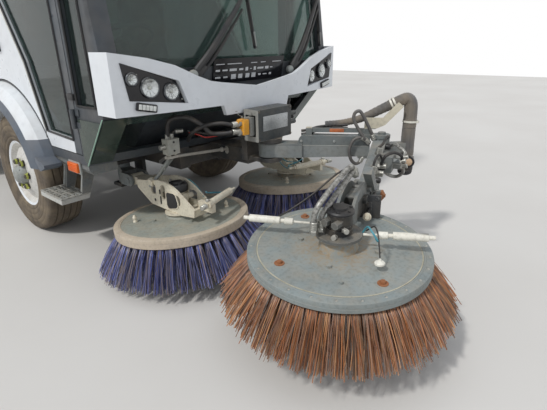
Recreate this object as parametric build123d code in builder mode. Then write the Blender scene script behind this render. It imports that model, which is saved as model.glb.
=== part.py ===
from build123d import *
from math import cos, hypot, radians, sin
import os

# Compact street sweeper with two channel brushes and a third brush on a slewing arm.
# Millimetres. +Z up, the front faces -Y, the machine's own left side is +X.
# The origin is on the ground at the middle of the overall box.

# Driving dimensions
FRONT_AXLE_Y = -105
WHEELBASE = 1950
REAR_AXLE_Y = FRONT_AXLE_Y + WHEELBASE
TRACK_HALF = 708
BODY_HALF = 800
CLEAR = 5
SEAT_GAP = 0.3

TYRE_RADIUS = 372
TYRE_WIDTH = 223
RIM_RADIUS = 206
HUB_SET = 69
HUB_RADIUS = 62
GROOVE_DEPTH = 9
GROOVE_WIDTH = 7
STUD_COUNT = 6
STUD_CIRCLE = 85
KINGPIN_X = 590
KINGPIN_RADIUS = 18

RAIL_INNER = 235
RAIL_WIDTH = 70
RAIL_TOP = 575
RAIL_HEIGHT = 120
FRAME_FRONT_Y = FRONT_AXLE_Y - 960
FRAME_REAR_Y = FRONT_AXLE_Y + 2520
CROSS_WIDTH = 70

CAB_WALL = 40
CAB_FLOOR_Z = RAIL_TOP
CAB_REAR_Y = FRONT_AXLE_Y + 330
CAB_ROOF_Z = 2120
ROOF_CAP_HEIGHT = 110
NOSE_BULGE = 60
ARCH_RADIUS = 450
ARCH_INNER_X = 360
GLASS_THICK = 6

DOOR_FRONT_Y = FRONT_AXLE_Y - 860
DOOR_REAR_Y = FRONT_AXLE_Y + 130
DOOR_BOTTOM_Z = 624
DOOR_TOP_Z = CAB_ROOF_Z - 60

PANEL_HALF = BODY_HALF + 6

ENGINE_FRONT_Y = CAB_REAR_Y + 25
ENGINE_REAR_Y = FRONT_AXLE_Y + 960
ENGINE_TOP_Z = 1560
COVER_WALL = 25

HOPPER_FRONT_Y = FRONT_AXLE_Y + 990
HOPPER_REAR_Y = FRONT_AXLE_Y + 2620
HOPPER_HALF = 790
HOPPER_KEEL_HALF = 520
HOPPER_KEEL_Z = 650
HOPPER_SIDE_Z = 820
HOPPER_TOP_Z = 2180
HOPPER_WALL = 30
TIP_PIVOT_Y = FRONT_AXLE_Y + 2480
TIP_PIVOT_Z = 625
TIP_BASE_OFFSET = 1400
TIP_BASE_Y = FRONT_AXLE_Y + TIP_BASE_OFFSET
TIP_BASE_Z = 480
TIP_EYE_Y = FRONT_AXLE_Y + 1900
TIP_EYE_Z = 610
BARREL_RADIUS = 45
EYE_LUG_X = 34

CHANNEL_X = 459
CHANNEL_Y = FRONT_AXLE_Y - 1140
CHANNEL_TOP_Z = 276
CHANNEL_LEAN = (1.1, 5.0)
CHANNEL_DISC_RADIUS = 350
CHANNEL_TIP_RADIUS = 448
CHANNEL_TIP_DEPTH = 222
CHANNEL_HUB = 20
CHANNEL_PIVOT_X = 430
CHANNEL_PIVOT_Y = FRONT_AXLE_Y - 560
CHANNEL_PIVOT_Z = 400

THIRD_X = -451
THIRD_Y = FRONT_AXLE_Y - 2102
THIRD_TOP_Z = 388
THIRD_LEAN = (-3.3, -2.7)
THIRD_DISC_RADIUS = 350
THIRD_TIP_RADIUS = 455
THIRD_TIP_DEPTH = 205
THIRD_HUB = 52

PLATE_THICK = 12
RING_LIP = 36
RING_WIDTH = 95
RING_HEIGHT = 46
BOLT_CIRCLE = 150
BOLT_RISE = 9
CHANNEL_STUD_RISE = 34
TUFT_COUNT = 32

BOX_BOTTOM = 640
BOX_TOP = 802
FORK_PLATE = 22
FORK_TOP = BOX_BOTTOM
ROOT_TOP = FORK_TOP - FORK_PLATE - CLEAR
ROOT_BOTTOM = 540
FORK_BOTTOM = ROOT_BOTTOM - CLEAR - FORK_PLATE
FORK_MID = (FORK_TOP + FORK_BOTTOM) / 2
NOSE_Z = 530
POST_Y = FRONT_AXLE_Y - 1365
ELBOW_X = 330
ELBOW_Y = FRONT_AXLE_Y - 1863
BOOM_Z = 600
TILT_REACH = 400
TILT_Z = 467
CUFF_SPOT = (448, FRONT_AXLE_Y - 1957)

os.makedirs("parts", exist_ok=True)


def save(solid, name):
    """Labels a finished piece and writes it as its own node."""
    solid.label = name
    export_step(solid, "parts/" + name + ".step")


def ahead(offset):
    """A station given as a distance from the front axle, rearwards positive."""
    return FRONT_AXLE_Y + offset


def on_sides(part):
    """The left-hand piece with its mirror image."""
    return [("l", part), ("r", part.mirror(Plane.YZ))]


# Wheels

def tyre_half_profile():
    """Ring section of a ribbed road tyre in the plane of the axle, radius along +Y."""
    half = TYRE_WIDTH / 2
    bead = RIM_RADIUS
    return [
        (-half + 22, bead), (-half, bead + 45), (-half, TYRE_RADIUS - 45),
        (-half + 14, TYRE_RADIUS - 8), (-half + 40, TYRE_RADIUS), (half - 40, TYRE_RADIUS),
        (half - 14, TYRE_RADIUS - 8), (half, TYRE_RADIUS - 45), (half, bead + 45), (half - 22, bead),
    ]


def make_tyre(centre):
    """A tyre with four straight grooves, turning about X."""
    with BuildPart() as tyre:
        with BuildSketch(Plane.XY):
            with BuildLine():
                Polyline(*tyre_half_profile(), close=True)
            make_face()
            groove_spots = [(x, TYRE_RADIUS) for x in (-60, -20, 20, 60)]
            with Locations(*groove_spots):
                Rectangle(GROOVE_WIDTH, 2 * GROOVE_DEPTH, mode=Mode.SUBTRACT)
        revolve(axis=Axis.X)
    return tyre.part.moved(Location(centre))


def make_rim(centre, outward):
    """A steel wheel whose disc bulges outwards to the studs and hub nose, facing the outward side."""
    half = TYRE_WIDTH / 2 - 22
    with BuildPart() as rim:
        with BuildSketch(Plane.XY):
            with BuildLine():
                Polyline(
                    (-half, RIM_RADIUS - SEAT_GAP), (half, RIM_RADIUS - SEAT_GAP), (half, RIM_RADIUS - 14),
                    (half - 10, RIM_RADIUS - 22), (half - 26, RIM_RADIUS - 38), (half - 4, 128), (half + 5, 104),
                    (half + 5, HUB_RADIUS + 4), (half + 30, HUB_RADIUS - 6), (half + 50, 42), (half + 56, 28),
                    (half + 56, 0), (half - HUB_SET, 0), (half - HUB_SET, HUB_RADIUS), (half - 12, HUB_RADIUS + 12),
                    (half - 5, 98), (half - 13, 122), (half - 37, RIM_RADIUS - 42), (-half, RIM_RADIUS - 20),
                    close=True,
                )
            make_face()
        revolve(axis=Axis.X)
        with BuildSketch(Plane.YZ.offset(half)):
            with PolarLocations(STUD_CIRCLE, STUD_COUNT):
                RegularPolygon(13, 6)
        extrude(amount=28)
    facing = rim.part if outward > 0 else rim.part.mirror(Plane.YZ)
    return facing.moved(Location(centre))


WHEELS = [  # name, x of the wheel's middle, y of its axle
    ("front_l", TRACK_HALF, FRONT_AXLE_Y), ("front_r", -TRACK_HALF, FRONT_AXLE_Y),
    ("rear_l", TRACK_HALF, REAR_AXLE_Y), ("rear_r", -TRACK_HALF, REAR_AXLE_Y),
]
for wheel, wheel_x, wheel_y in WHEELS:
    centre = (wheel_x, wheel_y, TYRE_RADIUS)
    save(make_tyre(centre), "tyre_" + wheel)
    save(make_rim(centre, wheel_x), "rim_" + wheel)

# Axles and steering knuckles
AXLE_HALF = 58
YOKE_GAP = 150
SPINDLE_RADIUS = 26
RIM_FACE_X = TRACK_HALF + TYRE_WIDTH / 2 - 22 - HUB_SET

with BuildPart() as front_axle:
    with BuildSketch(Plane.YZ):
        with Locations((FRONT_AXLE_Y, TYRE_RADIUS)):
            Rectangle(2 * AXLE_HALF, 110)
    extrude(amount=KINGPIN_X - 75, both=True)
    for side in (-1, 1):
        with Locations((side * (KINGPIN_X - 20), FRONT_AXLE_Y, TYRE_RADIUS)):
            Box(110, 80, YOKE_GAP + 60)
        with Locations((side * (KINGPIN_X + 5), FRONT_AXLE_Y, TYRE_RADIUS)):
            Box(130, 120, YOKE_GAP, mode=Mode.SUBTRACT)
        with Locations((side * KINGPIN_X, FRONT_AXLE_Y, TYRE_RADIUS)):
            Cylinder(KINGPIN_RADIUS, YOKE_GAP)
    for side in (-1, 1):
        with Locations((side * 270, FRONT_AXLE_Y, (TYRE_RADIUS + 55 + RAIL_TOP - RAIL_HEIGHT) / 2)):
            Box(60, 100, RAIL_TOP - RAIL_HEIGHT - TYRE_RADIUS - 55)
save(front_axle.part, "front_axle")

with BuildPart() as rear_axle:
    with BuildSketch(Plane.YZ):
        with Locations((REAR_AXLE_Y, TYRE_RADIUS)):
            Circle(55)
    extrude(amount=TRACK_HALF - 120, both=True)
    with BuildSketch(Plane.XY.offset(TYRE_RADIUS - 90)):
        with Locations((0, REAR_AXLE_Y)):
            RectangleRounded(300, 230, 60)
    extrude(amount=180)
    with BuildSketch(Plane.YZ):
        with Locations((REAR_AXLE_Y, TYRE_RADIUS)):
            Circle(SPINDLE_RADIUS)
    extrude(amount=RIM_FACE_X - SEAT_GAP, both=True)
    for side in (-1, 1):
        with Locations((side * 270, REAR_AXLE_Y, (TYRE_RADIUS + RAIL_TOP - RAIL_HEIGHT) / 2)):
            Box(60, 90, RAIL_TOP - RAIL_HEIGHT - TYRE_RADIUS)
save(rear_axle.part, "rear_axle")

with BuildPart() as knuckle:
    with Locations((KINGPIN_X, FRONT_AXLE_Y, TYRE_RADIUS)):
        Cylinder(42, YOKE_GAP - 12)
        Cylinder(KINGPIN_RADIUS + 0.05, YOKE_GAP, mode=Mode.SUBTRACT)
    with BuildSketch(Plane.YZ.offset(KINGPIN_X + 36)):
        with Locations((FRONT_AXLE_Y, TYRE_RADIUS)):
            Circle(48)
    extrude(amount=30)
    with BuildSketch(Plane.YZ.offset(KINGPIN_X + 60)):
        with Locations((FRONT_AXLE_Y, TYRE_RADIUS)):
            Circle(SPINDLE_RADIUS)
    extrude(amount=RIM_FACE_X - SEAT_GAP - KINGPIN_X - 60)
    with Locations((KINGPIN_X - 12, FRONT_AXLE_Y + 95, TYRE_RADIUS + 10)):
        Box(26, 130, 24)
for side, part in on_sides(knuckle.part):
    save(part, "knuckle_" + side)

# Chassis frame: two box rails, cross members and the brackets that carry the brush arms
LUG_THICK = 18
CHANNEL_YOKE = 120
RAIL_OUTER = RAIL_INNER + RAIL_WIDTH
RAIL_BOTTOM = RAIL_TOP - RAIL_HEIGHT
JACK_PAD = 14
with BuildPart() as frame:
    with BuildSketch(Plane.XY.offset(RAIL_BOTTOM)):
        for side in (-1, 1):
            with Locations((side * (RAIL_INNER + RAIL_WIDTH / 2), (FRAME_FRONT_Y + FRAME_REAR_Y) / 2)):
                Rectangle(RAIL_WIDTH, FRAME_REAR_Y - FRAME_FRONT_Y)
    extrude(amount=RAIL_HEIGHT)
    with BuildSketch(Plane.XY.offset(RAIL_BOTTOM + 12)):
        with Locations(*[(0, ahead(d)) for d in (-925, -560, 330, 790, TIP_BASE_OFFSET - 95, 2130, 2485)]):
            Rectangle(2 * RAIL_INNER, CROSS_WIDTH)
    extrude(amount=RAIL_HEIGHT - 24)
    # Forks under the rails that hold the channel brush arms
    for side in (-1, 1):
        for z in (-1, 1):
            with Locations((side * (CHANNEL_PIVOT_X - 40), CHANNEL_PIVOT_Y,
                            CHANNEL_PIVOT_Z + z * (CHANNEL_YOKE + LUG_THICK) / 2)):
                Box(190, 90, LUG_THICK)
        with Locations((side * (RAIL_OUTER + 12), CHANNEL_PIVOT_Y, CHANNEL_PIVOT_Z)):
            Box(24, 90, CHANNEL_YOKE)
        with Locations((side * CHANNEL_PIVOT_X, CHANNEL_PIVOT_Y, CHANNEL_PIVOT_Z)):
            Cylinder(16, CHANNEL_YOKE)
    # Nose beam and fork that carry the boom of the third brush
    nose_rear = FRAME_FRONT_Y + 160
    nose_front = POST_Y + 95
    with Locations((0, (nose_rear + nose_front) / 2, NOSE_Z)):
        Box(150, nose_rear - nose_front, 80)
    with Locations((0, POST_Y + 110, FORK_MID)):
        Box(170, 40, FORK_TOP - FORK_BOTTOM)
    for low in (FORK_BOTTOM, FORK_TOP - FORK_PLATE):
        with BuildSketch(Plane.XY.offset(low)):
            with BuildLine():
                Line((-70, POST_Y + 95), (-70, POST_Y))
                ThreePointArc((-70, POST_Y), (0, POST_Y - 70), (70, POST_Y))
                Line((70, POST_Y), (70, POST_Y + 95))
                Line((70, POST_Y + 95), (-70, POST_Y + 95))
            make_face()
        extrude(amount=FORK_PLATE)
    with Locations((0, POST_Y, FORK_MID)):
        Cylinder(22, FORK_TOP - FORK_BOTTOM - FORK_PLATE)
    # Valve blocks of the channel brushes, each on a rod from the nose beam
    for side in (-1, 1):
        for at, block in (((456, -1100, 638), (70, 50, 78)), ((456, -1100, 582), (62, 26, 12)),
                          ((438, -1100, 592), (14, 20, 20)), ((474, -1100, 592), (14, 20, 20))):
            with Locations((side * at[0], ahead(at[1]), at[2])):
                Box(*block)
        with BuildSketch(Plane(origin=(side * 60, ahead(-1100), 550), z_dir=(side * 390, 0, 32))):
            Circle(8)
        extrude(amount=386)
        with Locations((side * 112, ahead(-1100), 554)):
            Sphere(14)
        with BuildSketch(Plane(origin=(side * 470, ahead(-1090), 584), x_dir=(side, 0, 0),
                               z_dir=(side * 0.45, 0.55, -0.5))):
            Rectangle(28, 14)
        extrude(amount=52)
    # Lugs for the tipping cylinder and the hopper's rear hinge
    for side in (-1, 1):
        with Locations((side * 62, TIP_BASE_Y - 20, TIP_BASE_Z)):
            Box(20, 110, 60)
        with BuildSketch(Plane.YZ.offset(side * (RAIL_INNER + RAIL_WIDTH / 2) - 15)):
            with BuildLine():
                Polyline((TIP_PIVOT_Y - 42, RAIL_TOP - 5), (TIP_PIVOT_Y + 38, RAIL_TOP - 5),
                         (TIP_PIVOT_Y + 18, TIP_PIVOT_Z), (TIP_PIVOT_Y - 18, TIP_PIVOT_Z), close=True)
            make_face()
            with Locations((TIP_PIVOT_Y, TIP_PIVOT_Z)):
                Circle(19)
        extrude(amount=30)
    with Locations(Location((0, TIP_BASE_Y, TIP_BASE_Z), (0, 90, 0))):
        Cylinder(15, 110)
    with Locations(Location((0, TIP_PIVOT_Y, TIP_PIVOT_Z), (0, 90, 0))):
        Cylinder(12.05, 2 * RAIL_OUTER, mode=Mode.SUBTRACT)
    # Jack pads under the rails
    for side in (-1, 1):
        with Locations((side * (RAIL_INNER + RAIL_WIDTH / 2), ahead(560), RAIL_BOTTOM - JACK_PAD / 2)):
            Box(90, 90, JACK_PAD)
    # Rests for the hopper's keel
    for side in (-1, 1):
        with Locations((side * (RAIL_INNER + RAIL_WIDTH / 2), HOPPER_FRONT_Y + 330,
                        (RAIL_TOP + HOPPER_KEEL_Z - SEAT_GAP) / 2)):
            Box(50, 90, HOPPER_KEEL_Z - SEAT_GAP - RAIL_TOP)
    # Arms and cross bar of the rear underrun guard
    for side in (-1, 1):
        with Locations((side * (RAIL_INNER + RAIL_WIDTH / 2), ahead(2560), 428)):
            Box(50, 260, 54)
    with BuildSketch(Plane.YZ):
        with Locations((ahead(2700), 425)):
            RectangleRounded(60, 110, 12)
    extrude(amount=780, both=True)
save(frame.part, "chassis_frame")


# Cab

CAB_SECTIONS = [  # height, front edge at the sides measured from the front axle
    (CAB_FLOOR_Z, -905), (820, -1115), (1060, -1165), (CAB_ROOF_Z, -1020),
]


def plan_outline(half, rear_y, front_y, bulge):
    """Closed outline in plan: straight back and sides, bowed front."""
    Line((-half, front_y), (-half, rear_y))
    Line((-half, rear_y), (half, rear_y))
    Line((half, rear_y), (half, front_y))
    ThreePointArc((half, front_y), (0, front_y - bulge), (-half, front_y))


def cab_block(inset, floor_z, roof_z):
    """The cab's volume, each wall drawn in by the inset."""
    rows = [(floor_z, CAB_SECTIONS[0][1])] + CAB_SECTIONS[1:3] + [(roof_z, CAB_SECTIONS[3][1])]
    with BuildPart() as block:
        for (low_z, low_d), (high_z, high_d) in zip(rows, rows[1:]):
            for z, d in ((low_z, low_d), (high_z, high_d)):
                with BuildSketch(Plane.XY.offset(z)):
                    with BuildLine():
                        plan_outline(BODY_HALF - inset, CAB_REAR_Y - inset, ahead(d) + inset, NOSE_BULGE)
                    make_face()
            loft(ruled=True)
    return block.part


def wheel_bay(radius, inner_x):
    """Cylinders about the front axle that keep the steered wheels clear."""
    with BuildPart() as bay:
        for side in (-1, 1):
            with BuildSketch(Plane.YZ.offset(side * inner_x)):
                with Locations((FRONT_AXLE_Y, TYRE_RADIUS)):
                    Circle(radius)
            extrude(amount=side * 600)
    return bay.part


BAY_WALL = 15
DOOR_ARCH_RADIUS = 575
DOOR_GAP = 5


def arch_point(radius, dy):
    """Point on a circle about the front axle, dy behind it, on its upper half."""
    return (FRONT_AXLE_Y + dy, TYRE_RADIUS + (radius ** 2 - dy ** 2) ** 0.5)


def door_outline(grow):
    """Side view of the door, grown by the gap for its opening."""
    radius = DOOR_ARCH_RADIUS - grow
    bottom = DOOR_BOTTOM_Z - grow
    rear = DOOR_REAR_Y + grow
    front = DOOR_FRONT_Y - grow
    top = DOOR_TOP_Z + grow
    corner_dy = -((radius ** 2 - (bottom - TYRE_RADIUS) ** 2) ** 0.5)
    start = (FRONT_AXLE_Y + corner_dy, bottom)
    end = arch_point(radius, rear - FRONT_AXLE_Y)
    Line((front, bottom), start)
    ThreePointArc(start, arch_point(radius, (corner_dy + rear - FRONT_AXLE_Y) / 2), end)
    Line(end, (rear, top))
    Line((rear, top), (front, top))
    Line((front, top), (front, bottom))


QUARTER_GLASS = [
    (ahead(-900), 862), (ahead(-1078), 862), (ahead(-1062), 1290), (ahead(-945), CAB_ROOF_Z - 80),
    (ahead(-900), CAB_ROOF_Z - 80),
]
LOWER_GLASS = [(ahead(-896), 775), (ahead(-1040), 785), (ahead(-896), 640)]
SCREEN_HALF = BODY_HALF - 75
SCREEN_LOW_Z = 1015
SCREEN_HIGH_Z = CAB_ROOF_Z - 60
LOW_PANE_HALF = BODY_HALF - 70


def side_windows(grow, depth):
    """Prisms through both side walls for the fixed side glass."""
    with BuildPart() as windows:
        for outline in (QUARTER_GLASS, LOWER_GLASS):
            with BuildSketch(Plane.YZ):
                with BuildLine():
                    Polyline(*outline, close=True)
                make_face()
                if grow:
                    offset(amount=grow, kind=Kind.INTERSECTION)
            extrude(amount=BODY_HALF + 50, both=True)
        Box(2 * (BODY_HALF - depth), 6000, 6000, mode=Mode.SUBTRACT)
    return windows.part


def front_windows(grow):
    """Prisms through the front wall for the windscreen and the pane below the lamps."""
    with BuildPart() as windows:
        for half, low, high in ((SCREEN_HALF, SCREEN_LOW_Z, SCREEN_HIGH_Z), (LOW_PANE_HALF, 625, 812)):
            with BuildSketch(Plane.XZ):
                with BuildLine():
                    Polyline((-half - grow, low - grow), (half + grow, low - grow),
                             (half + grow, high + grow), (-half - grow, high + grow), close=True)
                make_face()
            extrude(amount=1600)
    return windows.part


HINGE_X = BODY_HALF + 14
HINGE_RADIUS = 12
HINGE_PIN = 5
HINGE_HEIGHTS = (800, 1880)
HINGE_KNUCKLE = 30
HINGE_LEAF = 45


def hinge_leaf(side, z, reach, height):
    """A knuckle on the door's axis with its leaf on the skin, forwards for reach -1, rearwards for +1."""
    with Locations((side * HINGE_X, DOOR_FRONT_Y, z)):
        Cylinder(HINGE_RADIUS, height)
    with Locations((side * (BODY_HALF + 3), DOOR_FRONT_Y + reach * HINGE_LEAF / 2, z)):
        Box(6, HINGE_LEAF, height)


CAB_OUTER = cab_block(0, CAB_FLOOR_Z, CAB_ROOF_Z)
BAY = wheel_bay(ARCH_RADIUS, ARCH_INNER_X)
BAY_OUTSIDE = wheel_bay(ARCH_RADIUS + BAY_WALL, ARCH_INNER_X - BAY_WALL)

with BuildPart() as cab_shell:
    add(CAB_OUTER - BAY)
    add(cab_block(CAB_WALL, CAB_FLOOR_Z + 25, CAB_ROOF_Z) - BAY_OUTSIDE, mode=Mode.SUBTRACT)
    for side in (-1, 1):
        with BuildSketch(Plane.YZ.offset(side * (BODY_HALF - CAB_WALL - 10))):
            with BuildLine():
                door_outline(DOOR_GAP)
            make_face()
        extrude(amount=side * (CAB_WALL + 60), mode=Mode.SUBTRACT)
    add(side_windows(0, CAB_WALL + 10), mode=Mode.SUBTRACT)
    add(front_windows(0), mode=Mode.SUBTRACT)
    for side in (-1, 1):
        for z in HINGE_HEIGHTS:
            for dz in (-HINGE_KNUCKLE, HINGE_KNUCKLE):
                hinge_leaf(side, z + dz, -1, HINGE_KNUCKLE)
            with Locations((side * HINGE_X, DOOR_FRONT_Y, z)):
                Cylinder(HINGE_PIN, 3 * HINGE_KNUCKLE)
save(cab_shell.part, "cab_shell")

with BuildPart() as cab_roof:
    for z, inset in ((CAB_ROOF_Z, -12), (CAB_ROOF_Z + 55, -12), (CAB_ROOF_Z + ROOF_CAP_HEIGHT, 90)):
        with BuildSketch(Plane.XY.offset(z)):
            with BuildLine():
                plan_outline(BODY_HALF - inset, CAB_REAR_Y - inset, ahead(-1070) + inset, NOSE_BULGE)
            make_face()
    loft(ruled=True)
    with BuildSketch(Plane.XY.offset(CAB_ROOF_Z)):
        with BuildLine():
            plan_outline(BODY_HALF - 70, CAB_REAR_Y - 70, ahead(-980), NOSE_BULGE)
        make_face()
    extrude(amount=55, mode=Mode.SUBTRACT)
save(cab_roof.part, "cab_roof")

# Fixed glass, set in the middle of its wall
SKIN = cab_block(17, CAB_FLOOR_Z, CAB_ROOF_Z) - cab_block(17 + GLASS_THICK, CAB_FLOOR_Z - 50, CAB_ROOF_Z + 50)
with BuildPart() as screens:
    add(SKIN & front_windows(0))
save(screens.part, "windscreen")
with BuildPart() as side_glass:
    add(SKIN & side_windows(0, CAB_WALL + 10))
save(side_glass.part, "side_glass")

# Headlamp band: a bowed panel in front of the screen's foot, deep at the lamps, notched in the middle
BAND_TOP = [(0, 911), (263, 945), (325, 955), (395, 981), (513, 1034), (641, 1068), (PANEL_HALF, 1094)]
BAND_BOTTOM = [(PANEL_HALF, 837), (255, 833), (239, 783), (0, 783)]
LAMP_WINDOW = [(501, 968), (763, 1053), (740, 901), (460, 865)]
LOZENGE = (673, 868)
LOZENGE_LENGTH = 70
LOZENGE_WIDTH = 20
with BuildPart() as front_panel:
    for z in (740, 1130):
        with BuildSketch(Plane.XY.offset(z)):
            with BuildLine():
                Line((-PANEL_HALF, ahead(-1235)), (-PANEL_HALF, ahead(-1090)))
                Line((-PANEL_HALF, ahead(-1090)), (-BODY_HALF - SEAT_GAP, ahead(-1090)))
                Line((-BODY_HALF - SEAT_GAP, ahead(-1090)), (-BODY_HALF - SEAT_GAP, ahead(-1205)))
                ThreePointArc((-BODY_HALF - SEAT_GAP, ahead(-1205)), (0, ahead(-1278)),
                              (BODY_HALF + SEAT_GAP, ahead(-1205)))
                Line((BODY_HALF + SEAT_GAP, ahead(-1205)), (BODY_HALF + SEAT_GAP, ahead(-1090)))
                Line((BODY_HALF + SEAT_GAP, ahead(-1090)), (PANEL_HALF, ahead(-1090)))
                Line((PANEL_HALF, ahead(-1090)), (PANEL_HALF, ahead(-1235)))
                ThreePointArc((PANEL_HALF, ahead(-1235)), (0, ahead(-1300)), (-PANEL_HALF, ahead(-1235)))
            make_face()
    loft(ruled=True)
    with BuildSketch(Plane.XZ):
        with BuildLine():
            Polyline(*(BAND_TOP + BAND_BOTTOM + [(-x, z) for x, z in BAND_BOTTOM[-2::-1]]
                       + [(-x, z) for x, z in BAND_TOP[:0:-1]]), close=True)
        make_face()
    extrude(amount=2000, mode=Mode.INTERSECT)
    add(CAB_OUTER, mode=Mode.SUBTRACT)
    for side in (-1, 1):
        with BuildSketch(Plane.XZ):
            with BuildLine():
                Polyline(*[(side * x, z) for x, z in LAMP_WINDOW], close=True)
            make_face()
            with Locations(Location((side * LOZENGE[0], LOZENGE[1]), side * 12)):
                SlotOverall(LOZENGE_LENGTH + 2 * SEAT_GAP, LOZENGE_WIDTH + 2 * SEAT_GAP)
        extrude(amount=2000, mode=Mode.SUBTRACT)
save(front_panel.part, "front_panel")

# Lamp housings behind the band, with three round lamps and one small lozenge each side
LAMPS = [(722, 987, 24), (641, 948, 41), (532, 923, 36)]  # x, z, radius
HOUSING_FRONT = ahead(-1250)
HOUSING_DEPTH = 36
with BuildPart() as lamp_housing:
    for side in (-1, 1):
        with BuildSketch(Plane.XZ.offset(HOUSING_DEPTH - HOUSING_FRONT - HOUSING_DEPTH)):
            with BuildLine():
                Polyline(*[(side * x, z) for x, z in LAMP_WINDOW], close=True)
            make_face()
            offset(amount=-SEAT_GAP, kind=Kind.INTERSECTION)
        extrude(amount=-HOUSING_DEPTH)
save(lamp_housing.part, "lamp_housings")
with BuildPart() as lamps:
    for side in (-1, 1):
        for x, z, r in LAMPS:
            with BuildSketch(Plane.XZ.offset(-HOUSING_FRONT)):
                with Locations((side * x, z)):
                    Circle(r)
            extrude(amount=18, taper=6)
        with BuildSketch(Plane.XZ.offset(-ahead(-1225))):
            with Locations(Location((side * LOZENGE[0], LOZENGE[1]), side * 12)):
                SlotOverall(LOZENGE_LENGTH, LOZENGE_WIDTH)
        extrude(amount=36)
save(lamps.part, "headlamps")

# Flared wheel arch trims and sills along the cab
FLARE_OUT = 100
FLARE_RADIUS = 560
FLARE_WALL = 12
with BuildPart() as fender:
    with BuildSketch(Plane.XY):
        with BuildLine():
            Polyline((BODY_HALF, FLARE_RADIUS), (BODY_HALF + 45, FLARE_RADIUS - 12),
                     (BODY_HALF + 85, FLARE_RADIUS - 50), (BODY_HALF + FLARE_OUT, ARCH_RADIUS + 10),
                     (BODY_HALF + FLARE_OUT, ARCH_RADIUS), (BODY_HALF + FLARE_OUT - FLARE_WALL, ARCH_RADIUS),
                     (BODY_HALF + 74, FLARE_RADIUS - 58), (BODY_HALF + 38, FLARE_RADIUS - 24),
                     (BODY_HALF, FLARE_RADIUS - FLARE_WALL), close=True)
        make_face()
    revolve(axis=Axis.X)
FLARE_RING = fender.part.moved(Location((0, FRONT_AXLE_Y, TYRE_RADIUS)))
with BuildPart() as fender_l:
    add(FLARE_RING)
    with Locations((BODY_HALF + 50, FRONT_AXLE_Y, 505 - 600)):
        Box(300, 1400, 1200, mode=Mode.SUBTRACT)
    with Locations((BODY_HALF + 50, ahead(440) + 400, 600)):
        Box(300, 800, 1400, mode=Mode.SUBTRACT)
    with BuildSketch(Plane.YZ.offset(BODY_HALF)):
        with BuildLine():
            Polyline((ahead(-500), 575), (ahead(-600), 545), (ahead(-600), 530), (ahead(-545), 506), (ahead(-532), 506),
                     (ahead(-500), 545), close=True)
        make_face()
    extrude(amount=FLARE_OUT - 8)
for side, part in on_sides(fender_l.part):
    save(part, "fender_" + side)

SILL_FRONT_Y = ahead(-880)
SILL_INNER = BODY_HALF - 160
SILL_OUTER = BODY_HALF - 10
SILL_LOW_Z = 520
SILL_REAR_Y = ahead(-470)
with BuildPart() as sill:
    with BuildSketch(Plane.XZ.offset(-SILL_FRONT_Y)):
        with BuildLine():
            Polyline((SILL_INNER, SILL_LOW_Z), (SILL_INNER, CAB_FLOOR_Z), (SILL_OUTER, CAB_FLOOR_Z),
                     (SILL_OUTER, SILL_LOW_Z + 25), (SILL_OUTER - 20, SILL_LOW_Z), close=True)
        make_face()
    extrude(amount=-(SILL_REAR_Y - SILL_FRONT_Y))

# Side steps: a perforated tread on two hangers under each sill
STEP_Z = 345
STEER_ROOM = 452  # swept radius of the steered tyre about the kingpin
with BuildPart() as step:
    with Locations((SILL_OUTER, ahead(-530), STEP_Z)):
        Box(150, 260, 24)
        with GridLocations(26, 26, 5, 9):
            Hole(8)
    for y in (ahead(-655), ahead(-470)):
        with BuildSketch(Plane.XZ.offset(-y - 4)):
            with BuildLine():
                Polyline((SILL_INNER + 20, SILL_LOW_Z), (SILL_OUTER - 70, SILL_LOW_Z), (SILL_OUTER - 38, STEP_Z + 12),
                         (SILL_OUTER - 38, STEP_Z - 12), (SILL_OUTER - 75, STEP_Z - 12),
                         (SILL_INNER + 20, SILL_LOW_Z - 50), close=True)
            make_face()
        extrude(amount=8)
    add(sill.part)
    with Locations((KINGPIN_X, FRONT_AXLE_Y, STEP_Z)):
        Cylinder(STEER_ROOM, 500, mode=Mode.SUBTRACT)
for side, part in on_sides(step.part):
    save(part, "side_step_" + side)

# Doors with their glass
DOOR_GLASS = [
    (ahead(-795), 690), (ahead(-505), 702), (ahead(-396), 1045), (ahead(-230), 1322), (ahead(-60), 1560),
    (ahead(35), 1760), (ahead(60), DOOR_TOP_Z - 70), (ahead(-795), DOOR_TOP_Z - 70),
]
with BuildPart() as door_l:
    with BuildSketch(Plane.YZ.offset(BODY_HALF - CAB_WALL)):
        with BuildLine():
            door_outline(0)
        make_face()
    extrude(amount=CAB_WALL)
    with BuildSketch(Plane.YZ.offset(BODY_HALF - CAB_WALL - 10)):
        with BuildLine():
            Polyline(*DOOR_GLASS, close=True)
        make_face()
    extrude(amount=CAB_WALL + 20, mode=Mode.SUBTRACT)
    with BuildSketch(Plane.YZ.offset(BODY_HALF)):
        with Locations((ahead(60), 1150)):
            SlotOverall(130, 26, rotation=90)
    extrude(amount=22)
    for z in HINGE_HEIGHTS:
        hinge_leaf(1, z, 1, HINGE_KNUCKLE - 2 * SEAT_GAP)
        with Locations((HINGE_X, DOOR_FRONT_Y, z)):
            Cylinder(HINGE_PIN + 0.05, HINGE_KNUCKLE, mode=Mode.SUBTRACT)
with BuildPart() as door_glass_l:
    with BuildSketch(Plane.YZ.offset(BODY_HALF - 23)):
        with BuildLine():
            Polyline(*DOOR_GLASS, close=True)
        make_face()
    extrude(amount=GLASS_THICK)
for side, part in on_sides(door_l.part):
    save(part, "door_" + side)
for side, part in on_sides(door_glass_l.part):
    save(part, "door_glass_" + side)

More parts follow.
